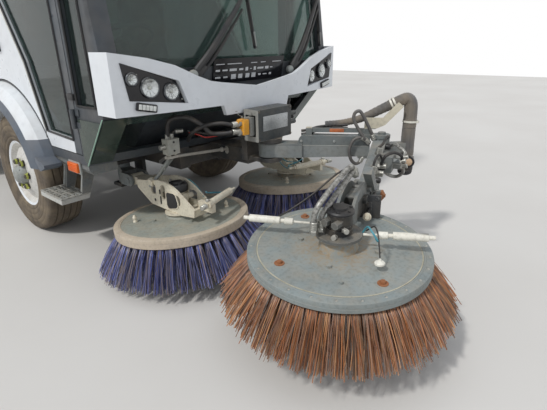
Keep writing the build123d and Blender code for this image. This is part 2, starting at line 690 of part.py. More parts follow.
# Inside the cab: two seats, dashboard, steering column and wheel
FLOOR_Z = CAB_FLOOR_Z + 25
with BuildPart() as seats:
    for x in (-340, 340):
        with BuildSketch(Plane.XY.offset(880)):
            with Locations((x, ahead(60))):
                RectangleRounded(430, 420, 60)
        extrude(amount=110)
        with BuildSketch(Plane.XZ.offset(-ahead(270))):
            with Locations((x, 1290)):
                RectangleRounded(420, 620, 70)
        extrude(amount=90)
        with BuildSketch(Plane.XZ.offset(-ahead(262))):
            with Locations((x, 1690)):
                RectangleRounded(240, 180, 50)
        extrude(amount=70)
        with Locations((x, ahead(235), 1600)):
            Box(60, 30, 40)
    for x in (-340, 340):
        with BuildSketch(Plane.XY.offset(FLOOR_Z)):
            with Locations((x * 0.62, ahead(60))):
                Rectangle(230, 330)
        extrude(amount=880 - FLOOR_Z)
save(seats.part, "seats")

WHEEL_HUB = (-340, ahead(-560), 1130)
with BuildPart() as dashboard:
    with BuildSketch(Plane.YZ):
        with BuildLine():
            Polyline((ahead(-1080), 880), (ahead(-1080), 985), (ahead(-880), 1040), (ahead(-800), 960),
                     (ahead(-750), FLOOR_Z), (ahead(-830), FLOOR_Z), close=True)
        make_face()
    extrude(amount=500, both=True)
save(dashboard.part, "dashboard")
steering_tilt = Plane(origin=WHEEL_HUB, z_dir=(0, 0.55, 1))
with BuildPart() as steering_column:
    with BuildSketch(steering_tilt):
        Circle(34)
    extrude(amount=-470)
    add(dashboard.part, mode=Mode.SUBTRACT)
    with BuildSketch(steering_tilt.offset(-12)):
        Circle(55)
        with Locations((0, 0)):
            Rectangle(366, 30)
    extrude(amount=20)
    with BuildSketch(Plane(origin=WHEEL_HUB, x_dir=(1, 0, 0), z_dir=(0, -1, 0.55))):
        with Locations((185, 0)):
            RegularPolygon(14, 8)
    revolve(axis=Axis(WHEEL_HUB, (0, 0.55, 1)))
save(steering_column.part, "steering_column")

# Front box on the slewing fork, with hose unions on both cheeks
BOX_HALF = 137
BOX_FRONT_Y = ahead(-1410)
BOX_DEPTH = 102
BOX_MID_Y = BOX_FRONT_Y + BOX_DEPTH / 2
BOX_MID_Z = (BOX_BOTTOM + BOX_TOP) / 2
with BuildPart() as front_box:
    with BuildSketch(Plane.XY.offset(BOX_BOTTOM)):
        with Locations((0, BOX_MID_Y)):
            RectangleRounded(2 * BOX_HALF, BOX_DEPTH, 6)
    extrude(amount=BOX_TOP - BOX_BOTTOM)
    with Locations((0, BOX_FRONT_Y, BOX_MID_Z + 8)):
        Box(196, 5, 74)
    for side in (-1, 1):
        with Locations((side * BOX_HALF, BOX_MID_Y, BOX_MID_Z)):
            Box(40, 70, 110, mode=Mode.SUBTRACT)
        with Locations((side * (BOX_HALF + 2), BOX_MID_Y, BOX_MID_Z)):
            Box(50, 44, 92)
        for z in (-24, 24):
            with BuildSketch(Plane.YZ.offset(side * (BOX_HALF - 20))):
                with Locations((BOX_MID_Y, BOX_MID_Z + z)):
                    Circle(13)
            extrude(amount=side * 110)
save(front_box.part, "front_box")


# Brushes: plate, tine ring and motor head share one leaning plane at the plate's top

def spin_plane(centre, lean):
    """The plane of a plate's top; lean is how far its normal leans along X and along Y, in degrees."""
    return Plane(origin=centre, x_dir=(1, 0, 0), z_dir=(sin(radians(lean[0])), sin(radians(lean[1])), 1))


def make_plate(place, disc_radius, hub_height, hub_radius, stud_rise):
    """A round plate inside the lip of the tine ring, with bolts, two studs and the hub that meets the motor."""
    edge = disc_radius - RING_LIP - SEAT_GAP
    with BuildPart() as plate:
        with BuildSketch(Plane.XZ):
            with BuildLine():
                Polyline((0, -PLATE_THICK), (0, hub_height - SEAT_GAP), (hub_radius - 12, hub_height - SEAT_GAP),
                         (hub_radius, 0.5 * hub_height), (hub_radius + 6, 0), (edge - 3, 0), (edge, -3),
                         (edge, -PLATE_THICK), close=True)
            make_face()
        revolve(axis=Axis.Z)
        with BuildSketch():
            with PolarLocations(BOLT_CIRCLE, 4, start_angle=20):
                RegularPolygon(11, 6)
        extrude(amount=BOLT_RISE)
        with BuildSketch():
            with PolarLocations(disc_radius - 110, 2, start_angle=215):
                Circle(7)
        extrude(amount=stud_rise)
    return plate.part.moved(place.location)


def make_tuft(root_radius, tip_radius, tip_depth):
    """One tuft of tines: slim at its root, fanned out at its tips."""
    with BuildPart() as tuft:
        with BuildSketch(Plane.XY.offset(2 - RING_HEIGHT)):
            with Locations((root_radius, 0)):
                RegularPolygon(13, 5)
        with BuildSketch(Plane.XY.offset(-tip_depth)):
            with Locations((tip_radius, 0)):
                RegularPolygon(18, 5)
        loft(ruled=True)
    return tuft.part


def make_bristles(place, disc_radius, tip_radius, tip_depth):
    """Two rows of splayed tufts under a backing ring whose lip is flush with the plate."""
    with BuildPart() as bristles:
        with BuildSketch(Plane.XZ):
            with BuildLine():
                Polyline((disc_radius - RING_WIDTH, -PLATE_THICK - SEAT_GAP),
                         (disc_radius - RING_LIP, -PLATE_THICK - SEAT_GAP),
                         (disc_radius - RING_LIP, 0), (disc_radius - 4, 0), (disc_radius, -4),
                         (disc_radius, -RING_HEIGHT), (disc_radius - RING_WIDTH, -RING_HEIGHT), close=True)
            make_face()
        revolve(axis=Axis.Z)
        for root_radius, tuft_tip, turn in (
                (disc_radius - 22, tip_radius - 18, 0), (disc_radius - 68, tip_radius - 110, 0.5)):
            tuft = make_tuft(root_radius, tuft_tip, tip_depth)
            spins = [360 * (i + turn) / TUFT_COUNT for i in range(TUFT_COUNT)]
            add([tuft.rotate(Axis.Z, spin) for spin in spins])
    return bristles.part.moved(place.location)


def make_motor(place, base, height, flange_radius):
    """A hydraulic motor standing on the hub: flange, stepped body, end cap and two ports."""
    with BuildPart() as motor:
        with BuildSketch(Plane.XY.offset(base)):
            Circle(flange_radius)
        extrude(amount=12)
        for start, end, radius in ((0, 0.34, 50), (0.34, 0.46, 42), (0.46, 0.88, 47), (0.88, 1, 36)):
            with BuildSketch(Plane.XY.offset(base + start * height)):
                Circle(radius)
            extrude(amount=(end - start) * height)
        for side in (-1, 1):
            with BuildSketch(Plane(origin=(0, side * 22, base + 0.66 * height), z_dir=(-1, 0, 0))):
                RegularPolygon(15, 6)
            extrude(amount=70)
    return motor.part.moved(place.location)


def along(origin, heading, steps):
    """Round steps strung along a line, each given as start, end and radius."""
    line = Plane(origin=origin, z_dir=heading)
    with BuildPart() as strung:
        for start, end, radius in steps:
            with BuildSketch(line.offset(start)):
                Circle(radius)
            extrude(amount=end - start)
    return strung.part


CHANNEL_PLACE = spin_plane((CHANNEL_X, CHANNEL_Y, CHANNEL_TOP_Z), CHANNEL_LEAN)
THIRD_PLACE = spin_plane((THIRD_X, THIRD_Y, THIRD_TOP_Z), THIRD_LEAN)
channel_plate = make_plate(CHANNEL_PLACE, CHANNEL_DISC_RADIUS, CHANNEL_HUB, 76, CHANNEL_STUD_RISE)
channel_bristles = make_bristles(CHANNEL_PLACE, CHANNEL_DISC_RADIUS, CHANNEL_TIP_RADIUS, CHANNEL_TIP_DEPTH)
for side, part in on_sides(channel_plate):
    save(part, "channel_plate_" + side)
for side, part in on_sides(channel_bristles):
    save(part, "channel_bristles_" + side)
save(make_plate(THIRD_PLACE, THIRD_DISC_RADIUS, THIRD_HUB, 72, BOLT_RISE), "third_plate")
save(make_bristles(THIRD_PLACE, THIRD_DISC_RADIUS, THIRD_TIP_RADIUS, THIRD_TIP_DEPTH), "third_bristles")

# Channel brush arms and the cast heads that lift on them
LIFT_Y = ahead(-745)
LIFT_Z = CHANNEL_PIVOT_Z
with BuildPart() as channel_arm:
    with Locations((CHANNEL_PIVOT_X, CHANNEL_PIVOT_Y, CHANNEL_PIVOT_Z)):
        Cylinder(38, CHANNEL_YOKE - 2)
    with BuildSketch(Plane.XY.offset(CHANNEL_PIVOT_Z - 35)):
        with BuildLine():
            Polyline((CHANNEL_PIVOT_X - 30, CHANNEL_PIVOT_Y), (CHANNEL_PIVOT_X + 30, CHANNEL_PIVOT_Y),
                     (CHANNEL_X + 44, LIFT_Y + 70), (CHANNEL_X - 44, LIFT_Y + 70), close=True)
        make_face()
    extrude(amount=70)
    with Locations((CHANNEL_X, LIFT_Y + 77, LIFT_Z)):
        Box(116, 16, 70)
    for side in (-1, 1):
        with BuildSketch(Plane.YZ.offset(CHANNEL_X + side * 50 - 8)):
            with BuildLine():
                Line((LIFT_Y + 80, LIFT_Z - 35), (LIFT_Y, LIFT_Z - 35))
                ThreePointArc((LIFT_Y, LIFT_Z - 35), (LIFT_Y - 35, LIFT_Z), (LIFT_Y, LIFT_Z + 35))
                Polyline((LIFT_Y, LIFT_Z + 35), (LIFT_Y + 80, LIFT_Z + 35), (LIFT_Y + 80, LIFT_Z - 35))
            make_face()
        extrude(amount=16)
    with Locations(Location((CHANNEL_X, LIFT_Y, LIFT_Z), (0, 90, 0))):
        Cylinder(15, 130)
    with Locations((CHANNEL_PIVOT_X, CHANNEL_PIVOT_Y, CHANNEL_PIVOT_Z)):
        Cylinder(16.05, CHANNEL_YOKE, mode=Mode.SUBTRACT)

HUB_HALF = 35
CHEEK_X = 55
CHEEK_WALL = 10
STAY_LENGTH = 40  # stops short of the sill when the brush is swung out and lifted
HEAD_FOOT = CHANNEL_TOP_Z + CHANNEL_HUB + 10
channel_motor = make_motor(CHANNEL_PLACE, CHANNEL_HUB, 112, 84)
stop_ram = along((CHANNEL_X + 59, CHANNEL_Y - 262, LIFT_Z), (-0.956, 0.295, 0),
                 ((-14, 26, 9), (26, 52, 21), (52, 250, 17), (250, 262, 11), (262, 298, 6)))
with BuildPart() as channel_head:
    add(channel_motor)
    with Locations(Location((CHANNEL_X, LIFT_Y, LIFT_Z), (0, 90, 0))):
        Cylinder(32, 2 * HUB_HALF)
    # Neck that widens from the lift hub to the cheeks
    with BuildSketch(Plane.XY.offset(LIFT_Z - 20)):
        with BuildLine():
            Polyline((CHANNEL_X - HUB_HALF, LIFT_Y), (CHANNEL_X + HUB_HALF, LIFT_Y),
                     (CHANNEL_X + HUB_HALF, LIFT_Y - 60),
                     (CHANNEL_X + CHEEK_X + 5, LIFT_Y - 100), (CHANNEL_X + CHEEK_X + 5, LIFT_Y - 130),
                     (CHANNEL_X - CHEEK_X - 5, LIFT_Y - 130), (CHANNEL_X - CHEEK_X - 5, LIFT_Y - 100),
                     (CHANNEL_X - HUB_HALF, LIFT_Y - 60), close=True)
        make_face()
    extrude(amount=44)
    # Cast cheeks with lightening windows, arched over the motor
    for side in (-1, 1):
        with BuildSketch(Plane.YZ.offset(CHANNEL_X + side * CHEEK_X - CHEEK_WALL / 2)):
            with BuildLine():
                Polyline((ahead(-840), LIFT_Z - 18), (ahead(-960), HEAD_FOOT + 8), (CHANNEL_Y - 76, HEAD_FOOT),
                         (CHANNEL_Y - 178, HEAD_FOOT + 14), (CHANNEL_Y - 186, HEAD_FOOT + 54),
                         (CHANNEL_Y - 60, LIFT_Z + 32))
                ThreePointArc((CHANNEL_Y - 60, LIFT_Z + 32), (CHANNEL_Y + 20, LIFT_Z + 58), (ahead(-980), LIFT_Z + 48))
                Polyline((ahead(-980), LIFT_Z + 48), (ahead(-840), LIFT_Z + 26), (ahead(-840), LIFT_Z - 18))
            make_face()
            with Locations((CHANNEL_Y - 40, LIFT_Z - 18)):
                RectangleRounded(76, 52, 18, mode=Mode.SUBTRACT)
            with Locations((CHANNEL_Y + 62, LIFT_Z + 2)):
                RectangleRounded(36, 76, 14, mode=Mode.SUBTRACT)
            with Locations((ahead(-992), LIFT_Z + 4)):
                RectangleRounded(44, 56, 16, mode=Mode.SUBTRACT)
        extrude(amount=CHEEK_WALL)
    for y, z, height in ((CHANNEL_Y - 70, HEAD_FOOT + 13, 22), (CHANNEL_Y - 166, HEAD_FOOT + 32, 36),
                         (ahead(-962), HEAD_FOOT + 30, 40)):
        with Locations((CHANNEL_X, y, z)):
            Box(2 * CHEEK_X, 22, height)
    # Stop ram across the front of the head
    add(stop_ram)
    with Locations((CHANNEL_X, CHANNEL_Y - 210, HEAD_FOOT + 66)):
        Box(26, 100, 44)
    # Foot of the stay on the outer cheek
    stay = Plane(origin=(CHANNEL_X + CHEEK_X, ahead(-975), LIFT_Z + 20), x_dir=(0, 1, 0), z_dir=(0.25, -0.35, 1))
    with BuildSketch(stay):
        Rectangle(30, 18)
    extrude(amount=STAY_LENGTH)
    with Locations(Location((CHANNEL_X, LIFT_Y, LIFT_Z), (0, 90, 0))):
        Cylinder(15.05, 2 * HUB_HALF + 6, mode=Mode.SUBTRACT)
for side, part in on_sides(channel_arm.part):
    save(part, "channel_arm_" + side)
for side, part in on_sides(channel_head.part):
    save(part, "channel_head_" + side)

# Third brush on its boom and jib
BOOM_LENGTH = hypot(ELBOW_X, ELBOW_Y - POST_Y)
BOOM_DIR = (ELBOW_X / BOOM_LENGTH, (ELBOW_Y - POST_Y) / BOOM_LENGTH, 0)
JIB_REACH = hypot(THIRD_X - ELBOW_X, THIRD_Y - ELBOW_Y)
JIB_DIR = ((THIRD_X - ELBOW_X) / JIB_REACH, (THIRD_Y - ELBOW_Y) / JIB_REACH, 0)
BOOM_PLANE = Plane(origin=(0, POST_Y, 0), x_dir=BOOM_DIR, z_dir=(0, 0, 1))
JIB_PLANE = Plane(origin=(ELBOW_X, ELBOW_Y, 0), x_dir=JIB_DIR, z_dir=(0, 0, 1))
BOOM_SIDE = Plane(origin=(0, POST_Y, 0), x_dir=BOOM_DIR, z_dir=(BOOM_DIR[1], -BOOM_DIR[0], 0))
JIB_SIDE = Plane(origin=(ELBOW_X, ELBOW_Y, 0), x_dir=JIB_DIR, z_dir=(JIB_DIR[1], -JIB_DIR[0], 0))
CUFF_DIR = (CUFF_SPOT[0] - ELBOW_X, CUFF_SPOT[1] - ELBOW_Y, 0)
JIB_HEIGHT = 84
JIB_BOTTOM = BOOM_Z - JIB_HEIGHT / 2
LUG_RISE = 18
BOOM_WIDTH = 74
SLEWING_CLEAR = 160  # beam starts outside the swept circle of the front box
BEAM_END = BOOM_LENGTH - 62

with BuildPart() as boom:
    with BuildSketch(BOOM_PLANE.offset(ROOT_BOTTOM)):
        Circle(60)
        with Locations((SLEWING_CLEAR / 2 + 10, 0)):
            Rectangle(SLEWING_CLEAR + 20, 100)
    extrude(amount=ROOT_TOP - ROOT_BOTTOM)
    # Folded beam: a lower channel lapped over a narrower upper one
    for half_width, outline in (
            (BOOM_WIDTH / 2, [(SLEWING_CLEAR, 538), (BEAM_END, 552), (BEAM_END, 606), (SLEWING_CLEAR, 606)]),
            (BOOM_WIDTH / 2 - 4, [(SLEWING_CLEAR, 600), (BEAM_END, 600), (BEAM_END, 655), (SLEWING_CLEAR + 22, 658),
                                  (SLEWING_CLEAR, 630)])):
        with BuildSketch(BOOM_SIDE.offset(-half_width)):
            with BuildLine():
                Polyline(*outline, close=True)
            make_face()
        extrude(amount=2 * half_width)
    # Elbow lugs and pin
    for low in (JIB_BOTTOM - CLEAR / 2 - LUG_RISE, JIB_BOTTOM + JIB_HEIGHT + CLEAR / 2):
        with BuildSketch(BOOM_PLANE.offset(low)):
            with Locations((BOOM_LENGTH - 60, 0)):
                Rectangle(120, 66)
            with Locations((BOOM_LENGTH, 0)):
                Circle(44)
        extrude(amount=LUG_RISE)
    with BuildSketch(BOOM_PLANE.offset(JIB_BOTTOM - 30)):
        with Locations((BOOM_LENGTH, 0)):
            Circle(20)
    extrude(amount=JIB_HEIGHT + 62)
    # Flat link over the beam, held by two ears
    for reach in (215, BOOM_LENGTH - 78):
        with BuildSketch(BOOM_SIDE.offset(-14)):
            with Locations((reach, 675)):
                Rectangle(30, 44)
        extrude(amount=28)
    with BuildSketch(BOOM_SIDE.offset(-9)):
        with Locations((BOOM_LENGTH / 2 + 68, 682)):
            Rectangle(BOOM_LENGTH - 260, 22)
    extrude(amount=18)
    # Lever standing over the elbow
    with BuildSketch(BOOM_SIDE.offset(-7)):
        with BuildLine():
            Polyline((505, 690), (560, 690), (610, 712), (696, 806), (670, 828), (598, 748), (505, 748), close=True)
        make_face()
    extrude(amount=14)
    with BuildSketch(BOOM_PLANE.offset(ROOT_BOTTOM)):
        Circle(22.05)
    extrude(amount=ROOT_TOP - ROOT_BOTTOM, mode=Mode.SUBTRACT)
save(boom.part, "boom")

# Hose sleeve over the elbow and two loops, on their own bulkhead; each point is reach, height, camera side
SLEEVE_RADIUS = 34
HOSE_RADIUS = 8.5
SLEEVE_ROUTE = [(330, 722, -48), (440, 720, -48), (640, 845, -48), (738, 882, -48), (742, 690, -48)]
LOOP_ROUTES = [
    [(524, 630, 36), (500, 655, 54), (446, 742, 55), (447, 784, 55), (482, 780, 55), (536, 684, 42), (548, 664, 26)],
    [(511, 640, 36), (490, 656, 52), (446, 640, 57), (432, 575, 58), (452, 528, 50), (482, 516, 34), (500, 540, 22)],
]


def on_boom(u, z, side):
    """A point of the boom's own frame: reach from the post, height over the ground, offset to the camera side."""
    return BOOM_SIDE.from_local_coords((u, z, side))


def hose(points, radius, bend):
    """A round hose along straight runs joined by bends."""
    with BuildPart() as run:
        with BuildLine() as route:
            FilletPolyline(*points, radius=bend)
        with BuildSketch(Plane(origin=route.line @ 0, z_dir=route.line % 0)):
            Circle(radius)
        sweep(path=route.line)
    return run.part


with BuildPart() as boom_hoses:
    add(hose([on_boom(*point) for point in SLEEVE_ROUTE], SLEEVE_RADIUS, 60))
    for loop in LOOP_ROUTES:
        add(hose([on_boom(*point) for point in loop], HOSE_RADIUS, 12))
    add(along(on_boom(742, 690, -48), (0, 0, 1), ((0, 26, 39),)))
    with BuildSketch(BOOM_SIDE.offset(-74)):
        with Locations((362, 680)):
            Rectangle(34, 46)
    extrude(amount=60)
    add(boom.part, mode=Mode.SUBTRACT)
save(boom_hoses.part, "boom_hoses")

with BuildPart() as jib:
    with BuildSketch(JIB_PLANE.offset(JIB_BOTTOM)):
        Circle(42)
    extrude(amount=JIB_HEIGHT)
    with BuildSketch(JIB_SIDE.offset(-34)):
        with BuildLine():
            Polyline((20, JIB_BOTTOM + 6), (64, JIB_BOTTOM + 6), (TILT_REACH - 95, TILT_Z - 36),
                     (TILT_REACH - 56, TILT_Z - 36),
                     (TILT_REACH - 56, TILT_Z + 36), (TILT_REACH - 130, TILT_Z + 70),
                     (60, JIB_BOTTOM + JIB_HEIGHT - 4), (20, JIB_BOTTOM + JIB_HEIGHT - 4), close=True)
        make_face()
    extrude(amount=68)
    # Clevis and pin that the third brush lifts on
    for side in (-1, 1):
        with BuildSketch(JIB_SIDE.offset(side * 50 - 8)):
            with BuildLine():
                Line((TILT_REACH - 84, TILT_Z - 36), (TILT_REACH, TILT_Z - 36))
                ThreePointArc((TILT_REACH, TILT_Z - 36), (TILT_REACH + 36, TILT_Z), (TILT_REACH, TILT_Z + 36))
                Polyline((TILT_REACH, TILT_Z + 36), (TILT_REACH - 84, TILT_Z + 36), (TILT_REACH - 84, TILT_Z - 36))
            make_face()
        extrude(amount=16)
    with BuildSketch(JIB_SIDE.offset(-58)):
        with Locations((TILT_REACH - 70, TILT_Z)):
            Rectangle(28, 72)
    extrude(amount=116)
    for start, depth, radius in ((-78, 156, 16), (-84, 22, 24)):
        with BuildSketch(JIB_SIDE.offset(start)):
            with Locations((TILT_REACH, TILT_Z)):
                Circle(radius)
        extrude(amount=depth)
    # Valve block and its unions on the camera-side flank
    with BuildSketch(JIB_SIDE.offset(-92)):
        with Locations((150, BOOM_Z - 44)):
            Rectangle(120, 78)
    extrude(amount=60)
    for u, z in ((112, BOOM_Z - 26), (150, BOOM_Z - 62), (186, BOOM_Z - 26)):
        with BuildSketch(JIB_SIDE.offset(-128)):
            with Locations((u, z)):
                RegularPolygon(13, 6)
        extrude(amount=40)
    # Cuff below the hose sleeve and the rubber buffer under it
    with BuildSketch(JIB_PLANE.offset(JIB_BOTTOM)):
        with Locations(JIB_PLANE.to_local_coords(Vector(*CUFF_SPOT, 0))):
            Circle(34)
    extrude(amount=JIB_HEIGHT + 10)
    with BuildSketch(Plane(origin=(ELBOW_X, ELBOW_Y, JIB_BOTTOM + 6), x_dir=CUFF_DIR, z_dir=(0, 0, 1))):
        with Locations((75, 0)):
            Rectangle(130, 54)
    extrude(amount=50)
    with BuildSketch(JIB_PLANE.offset(JIB_BOTTOM - 96)):
        with Locations(JIB_PLANE.to_local_coords(Vector(*CUFF_SPOT, 0))):
            Circle(40)
    extrude(amount=72)
    with BuildSketch(JIB_PLANE.offset(JIB_BOTTOM - 30)):
        with Locations(JIB_PLANE.to_local_coords(Vector(*CUFF_SPOT, 0))):
            Circle(22)
    extrude(amount=40)
    with BuildSketch(JIB_PLANE.offset(JIB_BOTTOM)):
        Circle(20.05)
    extrude(amount=JIB_HEIGHT, mode=Mode.SUBTRACT)
save(jib.part, "jib")

THIRD_FOOT = THIRD_TOP_Z + THIRD_HUB + 6
third_motor = make_motor(THIRD_PLACE, THIRD_HUB, 106, 88)
with BuildPart() as third_head:
    add(third_motor)
    with BuildSketch(JIB_SIDE.offset(-37)):
        with Locations((TILT_REACH, TILT_Z)):
            Circle(36)
    extrude(amount=74)
    # Deep bracket of two cheeks and webs, from the tilt pin to the motor flange
    for start in (-37, 25):
        with BuildSketch(JIB_SIDE.offset(start)):
            with BuildLine():
                Polyline((TILT_REACH - 10, TILT_Z - 30), (TILT_REACH + 60, THIRD_FOOT - 4), (JIB_REACH - 66, THIRD_FOOT),
                         (JIB_REACH - 60, THIRD_FOOT + 60))
                ThreePointArc((JIB_REACH - 60, THIRD_FOOT + 60), (JIB_REACH - 140, THIRD_FOOT + 112),
                              (TILT_REACH + 130, THIRD_FOOT + 118))
                Polyline((TILT_REACH + 130, THIRD_FOOT + 118), (TILT_REACH - 10, TILT_Z + 32),
                         (TILT_REACH - 10, TILT_Z - 30))
            make_face()
        extrude(amount=12)
    with BuildSketch(JIB_SIDE.offset(-37)):
        with Locations((TILT_REACH + 175, THIRD_FOOT + 50)):
            Rectangle(120, 60)
    extrude(amount=74)
    for u, z, radius in ((TILT_REACH + 175, THIRD_FOOT + 56, 18), (TILT_REACH + 100, THIRD_FOOT + 78, 12)):
        with BuildSketch(JIB_SIDE.offset(-54)):
            with Locations((u, z)):
                Circle(radius)
        extrude(amount=108)
    # Lift ram with its square tube, leaning back over the bracket
    lift_ram = JIB_SIDE.offset(-66)
    with BuildSketch(lift_ram):
        with BuildLine():
            Polyline((TILT_REACH + 40, TILT_Z + 62), (TILT_REACH + 72, TILT_Z + 40), (TILT_REACH + 190, TILT_Z + 150),
                     (TILT_REACH + 158, TILT_Z + 172), close=True)
        make_face()
    extrude(amount=34)
    # Dampers to the front and to the rear of the flange
    for offset_x, offset_y, heading, reach in ((30, -62, -62, 76), (20, 72, 120, 130)):
        foot = THIRD_PLACE.from_local_coords((offset_x, offset_y, THIRD_HUB + 10))
        bearing = (cos(radians(heading)), sin(radians(heading)), 0.03)
        add(along(foot, bearing, ((0, reach, 5), (reach, reach + 34, 14), (reach + 34, reach + 52, 8),
                                  (reach + 52, reach + 176, 15), (reach + 176, reach + 200, 8))))
    with BuildSketch(JIB_SIDE.offset(-54)):
        with Locations((TILT_REACH, TILT_Z)):
            Circle(16.05)
    extrude(amount=108, mode=Mode.SUBTRACT)
save(third_head.part, "third_head")

# Motor hoses of the third brush, from couplings at the motor up to the lift ram's foot
MOTOR_HOSES = [
    [(-548, -2055, 480), (-547, -2058, 545), (-505, -2068, 595), (-387, -2070, 655), (-322, -2066, 668),
     (-268, -2050, 636)],
    [(-512, -2062, 480), (-510, -2064, 520), (-472, -2070, 560), (-405, -2070, 600), (-342, -2068, 632),
     (-296, -2060, 642), (-255, -2048, 618)],
]
with BuildPart() as head_hoses:
    for points in MOTOR_HOSES:
        add(hose([(x, ahead(y), z) for x, y, z in points], 11, 24))
        x, y, z = points[0]
        add(along((x, ahead(y), z - 22), (0, 0, 1), ((0, 54, 15),)))
    add(third_head.part, mode=Mode.SUBTRACT)
save(head_hoses.part, "head_hoses")

# Engine bay between cab and hopper
with BuildPart() as engine_block:
    with Locations((0, (ENGINE_FRONT_Y + ENGINE_REAR_Y) / 2, RAIL_TOP + 290)):
        Box(600, 430, 580)
save(engine_block.part, "engine_block")

GRILLE_WIDTH = 400
GRILLE_HEIGHT = 620
GRILLE_Z = 1180
grille_y = (ENGINE_FRONT_Y + ENGINE_REAR_Y) / 2 + 30
cover_half = BODY_HALF - 5
with BuildPart() as cover_room:
    with Locations((0, (ENGINE_FRONT_Y + ENGINE_REAR_Y) / 2, (RAIL_TOP + ENGINE_TOP_Z) / 2 - COVER_WALL)):
        Box(2 * (cover_half - COVER_WALL), ENGINE_REAR_Y - ENGINE_FRONT_Y - 2 * COVER_WALL,
            ENGINE_TOP_Z - RAIL_TOP)
    add(BAY_OUTSIDE, mode=Mode.SUBTRACT)
with BuildPart() as engine_cover:
    with Locations((0, (ENGINE_FRONT_Y + ENGINE_REAR_Y) / 2, (RAIL_TOP + ENGINE_TOP_Z) / 2)):
        Box(2 * cover_half, ENGINE_REAR_Y - ENGINE_FRONT_Y, ENGINE_TOP_Z - RAIL_TOP)
    add(BAY, mode=Mode.SUBTRACT)
    add(cover_room.part, mode=Mode.SUBTRACT)
    with Locations((0, grille_y, GRILLE_Z)):
        Box(2 * BODY_HALF, GRILLE_WIDTH, GRILLE_HEIGHT, mode=Mode.SUBTRACT)
save(engine_cover.part, "engine_cover")

with BuildPart() as grilles:
    for side in (-1, 1):
        mid = side * (cover_half - COVER_WALL / 2)
        with Locations((mid, grille_y, GRILLE_Z)):
            Box(COVER_WALL, GRILLE_WIDTH, GRILLE_HEIGHT)
            Box(COVER_WALL, GRILLE_WIDTH - 40, GRILLE_HEIGHT - 40, mode=Mode.SUBTRACT)
        for i in range(12):
            z = GRILLE_Z - GRILLE_HEIGHT / 2 + 20 + (i + 0.5) * (GRILLE_HEIGHT - 40) / 12
            with Locations(Location((mid, grille_y, z), (0, side * 45, 0))):
                Box(26, GRILLE_WIDTH - 30, 4)
save(grilles.part, "engine_grilles")

# Hopper with its rear door
HOPPER_OUTLINE = [
    (HOPPER_KEEL_HALF, HOPPER_KEEL_Z), (HOPPER_KEEL_HALF + 40, HOPPER_SIDE_Z - 20), (HOPPER_HALF, HOPPER_SIDE_Z + 20),
    (HOPPER_HALF, HOPPER_TOP_Z - 120), (HOPPER_HALF - 80, HOPPER_TOP_Z),
]
DUCT_RADIUS = 100
DUCT_Y = HOPPER_FRONT_Y + 140
with BuildPart() as hopper:
    for inset, start, length, mode in (
            (0, HOPPER_FRONT_Y, HOPPER_REAR_Y - HOPPER_FRONT_Y, Mode.ADD),
            (HOPPER_WALL, HOPPER_FRONT_Y + HOPPER_WALL, HOPPER_REAR_Y - HOPPER_FRONT_Y, Mode.SUBTRACT)):
        with BuildSketch(Plane.XZ.offset(-start)):
            with BuildLine():
                Polyline(*(HOPPER_OUTLINE + [(-x, z) for x, z in HOPPER_OUTLINE[::-1]]), close=True)
            make_face()
            if inset:
                offset(amount=-inset, kind=Kind.INTERSECTION)
        extrude(amount=-length, mode=mode)
    with BuildSketch(Plane.XY.offset(HOPPER_KEEL_Z - 10)):
        with Locations((0, DUCT_Y)):
            Circle(DUCT_RADIUS - 8)
    extrude(amount=60, mode=Mode.SUBTRACT)
    # Rear hinge lugs under the keel, outside the chassis lugs
    for side in (-1, 1):
        with Locations((side * (RAIL_INNER + RAIL_WIDTH / 2 + 40), TIP_PIVOT_Y,
                        (TIP_PIVOT_Z + HOPPER_KEEL_Z) / 2 - 5)):
            Box(24, 70, HOPPER_KEEL_Z - TIP_PIVOT_Z + 30)
        with Locations(Location((side * (RAIL_INNER + RAIL_WIDTH / 2 + 20), TIP_PIVOT_Y, TIP_PIVOT_Z), (0, 90, 0))):
            Cylinder(12, 64)
    # Rear door hinge lugs and pins on the roof
    for x in (-480, 480):
        for dx in (-30, 30):
            with BuildSketch(Plane.YZ.offset(x + dx - 10)):
                with BuildLine():
                    Polyline((HOPPER_REAR_Y - 80, HOPPER_TOP_Z - 10), (HOPPER_REAR_Y, HOPPER_TOP_Z - 10),
                             (HOPPER_REAR_Y, HOPPER_TOP_Z + CLEAR), (HOPPER_REAR_Y + 38, HOPPER_TOP_Z + CLEAR),
                             (HOPPER_REAR_Y + 52, HOPPER_TOP_Z + 30), (HOPPER_REAR_Y + 42, HOPPER_TOP_Z + 52),
                             (HOPPER_REAR_Y - 80, HOPPER_TOP_Z + 20), close=True)
                make_face()
            extrude(amount=20)
        with Locations(Location((x, HOPPER_REAR_Y + 30, HOPPER_TOP_Z + 30), (0, 90, 0))):
            Cylinder(12, 60)
    # Eye lugs for the tipping cylinder's rod
    for side in (-1, 1):
        with Locations((side * EYE_LUG_X, TIP_EYE_Y, (TIP_EYE_Z - 18 + HOPPER_KEEL_Z) / 2)):
            Box(14, 60, HOPPER_KEEL_Z - TIP_EYE_Z + 18)
    with Locations(Location((0, TIP_EYE_Y, TIP_EYE_Z), (0, 90, 0))):
        Cylinder(11, 100, mode=Mode.SUBTRACT)
TUB_CUT = Plane.XY.offset(HOPPER_SIDE_Z - 20)
save(split(hopper.part, bisect_by=TUB_CUT, keep=Keep.TOP), "hopper")
save(split(hopper.part, bisect_by=TUB_CUT, keep=Keep.BOTTOM), "hopper_tub")

